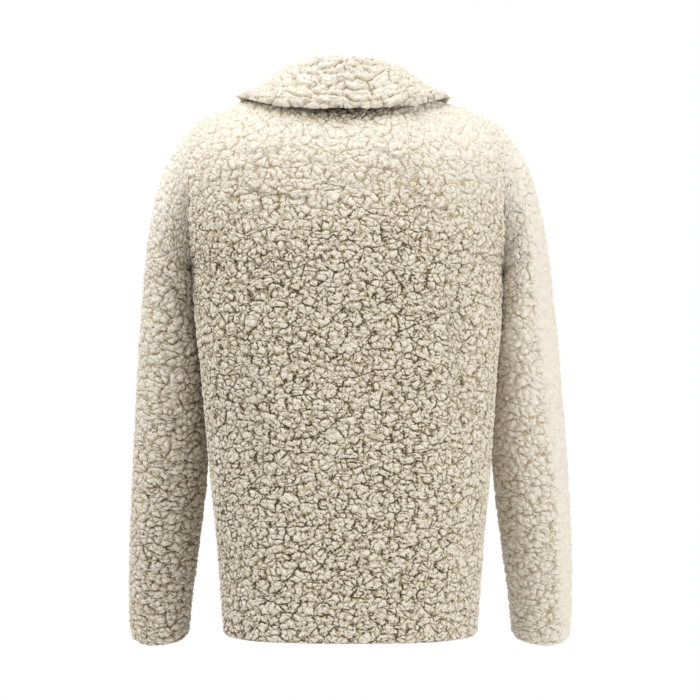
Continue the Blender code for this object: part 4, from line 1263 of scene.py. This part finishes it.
@dataclass(frozen=True)
class BodyPieces:
    """The back and the two fronts."""

    rows_low: int = 228
    rows_arm: int = 60
    rows_top: int = 64
    back_columns: int = 128  # on each half
    front_rows: tuple[int, int, int] = (176, 44, 48)
    front_columns: int = 116
    hem_round: float = 6.0
    edge_round: float = 5.0
    hem_band: float = 13.0  # height of the flatter turned edge
    hem_quiet: float = 0.55
    # Shares of the painted crevice shade: less toward the shoulders and on the wearer's right, painted light
    # where the top and right lights fall.
    crevice_shade_top: float = 0.45
    collar_shadow_crevices: float = 0.7  # more painted crevice shade, and a painted shadow, under the collar's fall
    hidden_shade: float = 0.35
    painted_light_right: float = 0.2
    rim_width: float = 6.0  # of the paler pile beside a side seam, above the hips: less crevice shade there
    rim_paling: float = 0.7
    fluff_height: float = 3.4
    creases: tuple[Crease, ...] = (
        Crease(Face.BACK, Side.LEFT, (146.0, -85.0), (60.0, -80.0), 2.2, 1.9, 2.0),
        Crease(Face.BACK, Side.LEFT, (150.0, -103.0), (78.0, -99.0), 2.2, 1.8, 3.0),
        Crease(Face.BACK, Side.LEFT, (128.0, -129.0), (20.0, -141.0), 2.4, 2.4, 3.0),
        Crease(Face.BACK, Side.LEFT, (60.0, -96.0), (-10.0, -101.0), 2.2, 1.5, -3.0),
        Crease(Face.BACK, Side.LEFT, (150.0, -160.0), (92.0, -150.0), 2.2, 1.6, 2.0),
        Crease(Face.BACK, Side.LEFT, (-20.0, -72.0), (-88.0, -98.0), 2.2, 1.8, 4.0),
        Crease(Face.BACK, Side.LEFT, (-10.0, -96.0), (-92.0, -108.0), 2.2, 1.8, 4.0),
        Crease(Face.BACK, Side.LEFT, (-60.0, -118.0), (-128.0, -158.0), 2.2, 1.6, 4.0),
        Crease(Face.BACK, Side.LEFT, (40.0, -186.0), (-34.0, -196.0), 2.2, 1.6, 3.0),
        Crease(Face.BACK, Side.LEFT, (118.0, -212.0), (52.0, -224.0), 2.2, 1.5, 3.0),
        Crease(Face.BACK, Side.LEFT, (96.0, -300.0), (40.0, -308.0), 2.2, 1.5, -3.0),
        Crease(Face.BACK, Side.LEFT, (20.0, -268.0), (-50.0, -262.0), 2.2, 1.5, 3.0),
        Crease(Face.BACK, Side.LEFT, (-40.0, -352.0), (-100.0, -362.0), 2.2, 1.5, 3.0),
        Crease(Face.BACK, Side.LEFT, (80.0, -420.0), (10.0, -412.0), 2.2, 1.5, 3.0),
        Crease(Face.BACK, Side.LEFT, (-128.0, -196.0), (-138.0, -440.0), 11.0, 3.0, 4.0),
        Crease(Face.BACK, Side.LEFT, (-98.0, -300.0), (-88.0, -650.0), 14.0, -2.2, 4.0),
        Crease(Face.BACK, Side.LEFT, (122.0, -300.0), (108.0, -520.0), 16.0, 2.4, -4.0),
        Crease(Face.FRONT, Side.LEFT, (140.0, -90.0), (70.0, -84.0), 2.2, 1.8, 2.0),
        Crease(Face.FRONT, Side.LEFT, (150.0, -128.0), (84.0, -122.0), 2.2, 1.8, 3.0),
        Crease(Face.FRONT, Side.LEFT, (-84.0, -96.0), (-146.0, -118.0), 2.2, 1.8, 3.0),
        Crease(Face.FRONT, Side.LEFT, (120.0, -230.0), (96.0, -560.0), 16.0, 2.6, 6.0),
        Crease(Face.FRONT, Side.LEFT, (-126.0, -250.0), (-104.0, -540.0), 16.0, 2.4, -6.0),
    )

    def rows(self, counts: tuple[int, int, int]) -> np.ndarray:
        """Rows from the hem to the top seam, closer together in the hem's turn."""
        low = steps_from_edge(counts[0], self.hem_round, BODY.underarm_z - BODY.hem_z)
        low = low / (BODY.underarm_z - BODY.hem_z)
        arm = np.linspace(1.0, 2.0, counts[1] + 1)[1:]
        top = np.linspace(2.0, 3.0, counts[2] + 1)[1:]
        return np.concatenate([low, arm, top])

    def wall(self, form: np.ndarray) -> np.ndarray:
        """Thickness of the wall: two layers in the turned hem."""
        rise = BODY.hem_z + CLOTH.hem_turn + CLOTH.hem_step / 2.0 - form[..., 2]
        return CLOTH.wall + (CLOTH.hem_wall - CLOTH.wall) * ease(rise / CLOTH.hem_step)

    def quiet(self, form: np.ndarray) -> np.ndarray:
        """Share of the pile's height: less in the flattened band along the hem."""
        above = (form[..., 2] - BODY.hem_z - self.hem_band) / 6.0
        return self.hem_quiet + (1.0 - self.hem_quiet) * ease(above + 0.5)

    def collar_shadow(self, form: np.ndarray) -> np.ndarray:
        """Zone of the painted shadow on the back, where the collar's fall rests on it."""
        reach = ease(1.0 - np.abs(form[..., 0]) / 98.0)
        down = 1.0 - ease((-34.0 - form[..., 2]) / (8.0 + 16.0 * reach))
        return reach * down

    @staticmethod
    def from_sides(form: np.ndarray, both: bool) -> np.ndarray:
        """Distance along the cloth from the side seam, or from the nearer of two."""
        across = lengths(form, 1)
        far = across[:, -1:] - across
        return np.minimum(across, far) if both else far

    def crevice_shade(self, form: np.ndarray, across: np.ndarray, mirrored: bool) -> np.ndarray:
        """Share of the painted crevice shade: less toward the shoulders and the wearer's right as painted light
        from the top and right lights, and less beside the side seams.
        """
        x = -form[..., 0] if mirrored else form[..., 0]
        low = self.crevice_shade_top + (1.0 - self.crevice_shade_top) * ease((-30.0 - form[..., 2]) / 190.0)
        low = low * (1.0 - self.painted_light_right * ease((-x - 70.0) / 90.0))
        beside = np.exp(-((across / self.rim_width) ** 2)) * ease((-150.0 - form[..., 2]) / 40.0)
        beside = beside * ease((form[..., 2] + 500.0) / 100.0)
        return low * (1.0 - self.rim_paling * beside)

    def fluff(self, form: np.ndarray, across: np.ndarray) -> np.ndarray:
        """Pile that fills the narrow gap to the sleeve, below the underarm.

        Args:
            form: the piece's grid.
            across: distance of each point from the side seam.
        """
        down = np.exp(-(((form[..., 2] - BODY.underarm_z + 40.0) / 70.0) ** 2))
        return self.fluff_height * down * np.exp(-((across / 13.0) ** 2))

    def back(self, pattern: CurlPattern) -> ShellPiece:
        """The back, from both halves' grids."""
        r = self.rows((self.rows_low, self.rows_arm, self.rows_top))
        neck = round(self.back_columns * BODY.neck_u)
        u = np.concatenate([
            np.linspace(0.0, BODY.neck_u, neck + 1),
            np.linspace(BODY.neck_u, 1.0, self.back_columns - neck + 1)[1:],
        ])
        left = BODY.panel(r, u, Face.BACK, Side.LEFT)
        right = BODY.panel(r, u, Face.BACK, Side.RIGHT) * np.array([-1.0, 1.0, 1.0])
        form = np.concatenate([right[:, :0:-1], left], axis=1)
        edges = Edges(first_row=self.hem_round, sewn=("last_row", "first_column", "last_column"))
        return ShellPiece(
            name="back_cloth", nodes=("back",), form=form, wall=self.wall(form), sign=1,
            level=True, edges=edges, pattern=pattern, origin=(0.0, 0.0), zero_column=self.back_columns,
            quiet=self.quiet(form),
            # Below the collar's fall the crevice shade and the colour are darkened: a painted shadow.
            crevice_shade=self.crevice_shade(form, self.from_sides(form, True), False) + self.collar_shadow_crevices * self.collar_shadow(form),
            fluff=self.fluff(form, self.from_sides(form, True)), creases=self.creases,
            shaded=self.hidden_shade * self.collar_shadow(form), rests_on=("front_left", "front_right"),
        )

    def front(self, side: Side, pattern: CurlPattern) -> ShellPiece:
        """One front, from its open edge to the side seam."""
        r = self.rows(self.front_rows)
        width = 230.0
        u = steps_from_edge(self.front_columns, self.edge_round, width) / width
        form = BODY.panel(r, u, Face.FRONT, side)
        edges = Edges(
            first_row=self.hem_round, first_column=self.edge_round, sewn=("last_row", "last_column"))
        return ShellPiece(
            name=f"front_{side.word}_cloth", nodes=(f"front_{side.word}",), form=form,
            wall=self.wall(form), sign=-1, level=True, edges=edges, pattern=pattern,
            origin=(1500.0 + 700.0 * side.value, 300.0), quiet=self.quiet(form),
            crevice_shade=self.crevice_shade(form, self.from_sides(form, False), side is Side.RIGHT),
            fluff=self.fluff(form, self.from_sides(form, False)), creases=self.creases,
            mirrored=side is Side.RIGHT, rests_on=("back",),
        )


@dataclass(frozen=True)
class SleevePieces:
    """The two sleeves."""

    form: SleeveForm = SleeveForm(BODY)
    rows: int = 364
    columns: int = 224
    cuff_round: float = 6.0
    cuff_band: float = 13.0
    cuff_quiet: float = 0.55
    ring_spacing: float = 37.0
    fluff_height: float = 2.4
    inner_shade: tuple[float, float] = (0.3, 0.12)  # painted shade on the face toward the body, on the left and on the right
    # side, share of painted crevice shade at the shoulder, the elbow, the cuff and the outer rim;
    # a lower share is painted light where the lights fall, and a painted highlight on the outer rim
    crevice_shade_shares: tuple[tuple[float, ...], ...] = ((1.0, 0.25, 0.78, 0.92, 0.85), (-1.0, 0.2, 0.47, 0.6, 0.25))
    creases: tuple[Crease, ...] = (
        Crease(Face.BACK, Side.LEFT, (226.0, -172.0), (176.0, -196.0), 4.5, 1.6, 3.0),
        Crease(Face.BACK, Side.LEFT, (240.0, -186.0), (176.0, -226.0), 6.0, 3.2, 3.0),
        Crease(Face.BACK, Side.LEFT, (238.0, -204.0), (180.0, -244.0), 6.0, -2.6, 3.0),
        Crease(Face.BACK, Side.LEFT, (246.0, -216.0), (178.0, -260.0), 6.0, 3.2, 3.0),
        Crease(Face.BACK, Side.LEFT, (250.0, -262.0), (186.0, -282.0), 5.0, 2.4, 3.0),
        Crease(Face.BACK, Side.LEFT, (240.0, -330.0), (180.0, -344.0), 5.0, 2.2, 4.0),
        Crease(Face.BACK, Side.LEFT, (252.0, -392.0), (192.0, -402.0), 4.5, 2.0, 4.0),
        Crease(Face.BACK, Side.LEFT, (246.0, -470.0), (200.0, -486.0), 4.5, 1.8, 4.0),
        Crease(Face.BACK, Side.LEFT, (-176.0, -206.0), (-222.0, -160.0), 5.0, 2.2, 3.0),
        Crease(Face.BACK, Side.LEFT, (-178.0, -228.0), (-226.0, -196.0), 5.0, 2.6, 3.0),
        Crease(Face.BACK, Side.LEFT, (-184.0, -262.0), (-236.0, -246.0), 5.0, 2.2, 3.0),
        Crease(Face.BACK, Side.LEFT, (-186.0, -338.0), (-240.0, -326.0), 5.0, 2.0, 3.0),
        Crease(Face.BACK, Side.LEFT, (-196.0, -420.0), (-248.0, -404.0), 4.5, 1.8, 3.0),
        Crease(Face.FRONT, Side.LEFT, (234.0, -200.0), (182.0, -232.0), 6.0, 3.6, 3.0),
        Crease(Face.FRONT, Side.LEFT, (246.0, -330.0), (190.0, -318.0), 6.0, 3.0, 3.0),
        Crease(Face.FRONT, Side.LEFT, (-234.0, -204.0), (-182.0, -238.0), 6.0, 3.6, -3.0),
        Crease(Face.FRONT, Side.LEFT, (-244.0, -316.0), (-192.0, -330.0), 6.0, 3.0, -3.0),
    )

    def shaded(self, form: np.ndarray, out: np.ndarray, side: Side) -> np.ndarray:
        """Painted shade on the face toward the body, below the underarm, where the body shades it."""
        inner = ease((-out[..., 0] - 0.3) / 0.55)
        return self.inner_shade[0 if side is Side.LEFT else 1] * inner * ease((-190.0 - form[..., 2]) / 70.0)

    def crevice_shade(self, form: np.ndarray, out: np.ndarray, side: Side) -> np.ndarray:
        """Share of the painted crevice shade, by height and toward the outer rim of the sleeve, where a painted
        highlight lowers it.
        """
        shares = {row[0]: row[1:] for row in self.crevice_shade_shares}[side.value]
        upper = ease((-70.0 - form[..., 2]) / 170.0)
        lower = ease((-330.0 - form[..., 2]) / 200.0)
        level = shares[0] + (shares[1] - shares[0]) * upper + (shares[2] - shares[1]) * lower
        return level * (1.0 - (1.0 - shares[3]) * ease((out[..., 0] - 0.45) / 0.4))

    def sleeve(self, side: Side, pattern: CurlPattern) -> ShellPiece:
        """One sleeve, open at the armhole and cuff, with its seam under the arm."""
        last = float(len(self.form.rings))
        from_cuff = steps_from_edge(self.rows, self.cuff_round, last * self.ring_spacing)
        q = (last - from_cuff / self.ring_spacing)[::-1]
        turn = np.linspace(1.0, 3.0, self.columns + 1)
        form = self.form.grid(q, turn, side)
        form[:, -1] = form[:, 0]
        from_edge = lengths(form, 0)[-1:] - lengths(form, 0)
        turned = ease((CLOTH.hem_turn + CLOTH.hem_step / 2.0 - from_edge) / CLOTH.hem_step)
        wall = CLOTH.wall + (CLOTH.hem_wall - CLOTH.wall) * turned
        quiet = self.cuff_quiet + (1.0 - self.cuff_quiet) * ease(
            (from_edge - self.cuff_band) / 6.0 + 0.5)
        round_from_seam = np.minimum(lengths(form, 1), lengths(form, 1)[:, -1:] - lengths(form, 1))
        down = np.exp(-(((form[..., 2] - BODY.underarm_z + 20.0) / 32.0) ** 2))
        fluff = self.fluff_height * down * np.exp(-((round_from_seam / 18.0) ** 2))
        edges = Edges(last_row=self.cuff_round, sewn=("first_row", "first_column", "last_column"))
        return ShellPiece(
            name=f"sleeve_{side.word}_cloth", nodes=(f"sleeve_{side.word}",), form=form, wall=wall,
            sign=1, edges=edges, pattern=pattern, origin=(3500.0 + 700.0 * side.value, 0.0),
            zero_column=self.columns // 2, zero_row=self.rows, tube=True,
            mirrored=side is Side.RIGHT, quiet=quiet, rests_on=("back",), fluff=fluff,
            crevice_shade=self.crevice_shade(form, grid_normals(form, 1), side), creases=self.creases,
            shaded=self.shaded(form, grid_normals(form, 1), side),
        )


@dataclass(frozen=True)
class CollarPieces:
    """The two halves of the collar, which meet at the centre back."""

    form: CollarForm = CollarForm(BODY)
    rows: int = 300
    across: tuple[int, int, int] = (20, 28, 48)  # steps in the stand, the roll and the fall
    edge_round: float = 5.0
    # Share of the painted crevice shade over the whole collar.
    crevice_shade_share: float = 0.6
    edge_fluff: float = 0.5

    def half(self, side: Side, pattern: CurlPattern) -> ShellPiece:
        """One half of the collar. Its outer face is the one that shows: the fall's top."""
        place = np.concatenate([
            np.linspace(0.0, 1.0, self.rows // 4 + 1),
            np.linspace(1.0, 2.0, self.rows // 4 + 1)[1:],
            np.linspace(2.0, 3.0, self.rows // 2 + 1)[1:],
        ])
        stand, roll, fall = self.across
        form = self.form
        near_edge = 1.0 - steps_from_edge(fall, 0.1, 1.0)[::-1]
        across = np.concatenate([
            np.linspace(0.0, form.stand_end, stand + 1),
            np.linspace(form.stand_end, form.roll_end, roll + 1)[1:],
            form.roll_end + (1.0 - form.roll_end) * near_edge[1:],
        ])
        middle, wall = form.middle(place, across)
        middle[0, :, 0] = CLOTH.seam_gap / 2.0
        out = grid_normals(middle, 1)
        out[0, :, 0] = 0.0
        out[0] = unit(out[0])
        shown = middle + out * wall[..., None] / 2.0
        from_edge = lengths(shown, 1)[:, -1:] - lengths(shown, 1)
        edges = Edges(last_column=self.edge_round, last_row=4.0, sewn=("first_row", "first_column"))
        return ShellPiece(
            name=f"collar_{side.word}_cloth", nodes=(f"collar_{side.word}",), form=shown,
            wall=wall, sign=1, edges=edges, pattern=pattern,
            origin=(6000.0 + 900.0 * side.value, 0.0), mirrored=side is Side.RIGHT,
            turned=True, crevice_shade=np.full(shown.shape[:2], self.crevice_shade_share), rests_on=("back",),
            quiet=1.0 + self.edge_fluff * np.exp(-((from_edge / 7.0) ** 2)),
            fluff=self.edge_fluff * np.exp(-((from_edge / 7.0) ** 2)),
            # Painted shade along the fall's edge, which turns downward.
            shaded=0.22 * (1.0 - ease((from_edge - 5.0) / 6.0)),
        )


@dataclass(frozen=True)
class Studio:
    """Floor, lights, world and camera."""

    floor_z: float = -1.42
    floor_radius: float = 3.0
    camera_distance: float = 3.0
    camera_z: float = -0.317
    view_width: float = 0.854  # width of the picture at the garment
    sensor: float = 36.0

    def camera(self) -> None:
        """Camera level with the middle of the garment, looking at its back."""
        data = bpy.data.cameras.new("camera")
        data.sensor_width = self.sensor
        data.lens = self.sensor * self.camera_distance / self.view_width
        made = bpy.data.objects.new("camera", data)
        made.location = (0.0, self.camera_distance, self.camera_z)
        made.rotation_euler = (math.pi / 2.0, 0.0, math.pi)
        bpy.context.scene.collection.objects.link(made)
        bpy.context.scene.camera = made

    def light(self, name: str, place: tuple, size: float, watts: float) -> None:
        """One soft square light that faces the garment's middle."""
        data = bpy.data.lights.new(name, "AREA")
        data.size = size
        data.energy = watts
        made = bpy.data.objects.new(name, data)
        made.location = place
        aim = Vector((0.0, 0.0, self.camera_z)) - Vector(place)
        made.rotation_mode = "QUATERNION"
        made.rotation_quaternion = aim.to_track_quat("-Z", "Y")
        bpy.context.scene.collection.objects.link(made)

    def world(self) -> None:
        """White surroundings: bright to the eye, dimmer as light on the garment."""
        world = bpy.data.worlds.new("studio")
        world.use_nodes = True
        tree = world.node_tree
        seen = tree.nodes.new("ShaderNodeLightPath")
        strength = NodeChain(tree).math("MULTIPLY", seen.outputs["Is Camera Ray"], 0.45)
        strength = NodeChain(tree).math("ADD", strength, 0.55)
        background = tree.nodes["Background"]
        background.inputs["Color"].default_value = (1.0, 1.0, 1.0, 1.0)
        tree.links.new(strength, background.inputs["Strength"])
        bpy.context.scene.world = world

    def floor(self) -> None:
        """Round pale floor below the garment, at the height of the ground when it is worn."""
        bpy.ops.mesh.primitive_cylinder_add(
            vertices=96, radius=self.floor_radius, depth=0.02,
            location=(0.0, 0.0, self.floor_z - 0.01))
        made = bpy.context.object
        made.name = "floor"
        material = bpy.data.materials.new("floor")
        material.use_nodes = True
        shader = material.node_tree.nodes["Principled BSDF"]
        shader.inputs["Base Color"].default_value = (0.86, 0.86, 0.85, 1.0)
        shader.inputs["Roughness"].default_value = 0.8
        made.data.materials.append(material)

    def build(self) -> None:
        """Everything round the garment."""
        bpy.context.scene.view_settings.view_transform = "Standard"
        self.camera()
        self.world()
        self.floor()
        self.light("top_light", (0.4, -0.1, 1.9), 1.6, 22.0)
        self.light("left_light", (2.0, 0.7, 1.2), 1.4, 20.0)
        self.light("right_light", (-2.0, 1.3, 0.1), 1.4, 24.0)
        self.light("front_light", (0.9, 1.7, 2.0), 1.1, 20.5)


def dress(piece: ShellPiece, materials: list[bpy.types.Material]) -> bpy.types.Object:
    """Build a piece and tell the frame what it is."""
    made = piece.build(materials)
    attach(made, "root")
    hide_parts(*piece.nodes)
    return made


def main() -> None:
    """Build the studio, then every piece of the cardigan."""
    logging.basicConfig(level=logging.INFO, format="%(message)s")
    Studio().build()
    backing = BackingFinish().build("backing")
    body_curls = CurlPattern()
    arm_curls = CurlPattern(
        clump=(25.0, 13.0), lobe=(10.0, 6.2), bud=(3.8, 2.7), bend=9.0, bend_size=20.0,
        clump_relief=2.2, lobe_relief=2.6, clump_crack=2.2)
    collar_curls = CurlPattern(
        clump=(30.0, 14.0), lobe=(11.0, 6.8), bud=(3.8, 2.7), bend=9.0, bend_size=20.0,
        clump_relief=3.4, clump_shoulder=4.0, lobe_relief=2.4, clump_crack=2.4, lobe_gap=0.2,
        lobe_closed=0.0, bud_gap=0.2)
    body_fleece = FleeceFinish().build("body_fleece", body_curls)
    # Lighter valley colours: less painted shade in the hollows of the sleeves and the collar.
    arm_fleece = FleeceFinish(valley=(0.14, 0.105, 0.055)).build("arm_fleece", arm_curls)
    collar_fleece = FleeceFinish(valley=(0.14, 0.105, 0.055)).build("collar_fleece", collar_curls)
    body = BodyPieces()
    dress(body.back(body_curls), [body_fleece, backing])
    for side in Side:
        dress(body.front(side, body_curls), [body_fleece, backing])
    for side in Side:
        dress(SleevePieces().sleeve(side, arm_curls), [arm_fleece, backing])
    for side in Side:
        dress(CollarPieces().half(side, collar_curls), [collar_fleece, backing])


if __name__ == "__main__":
    main()
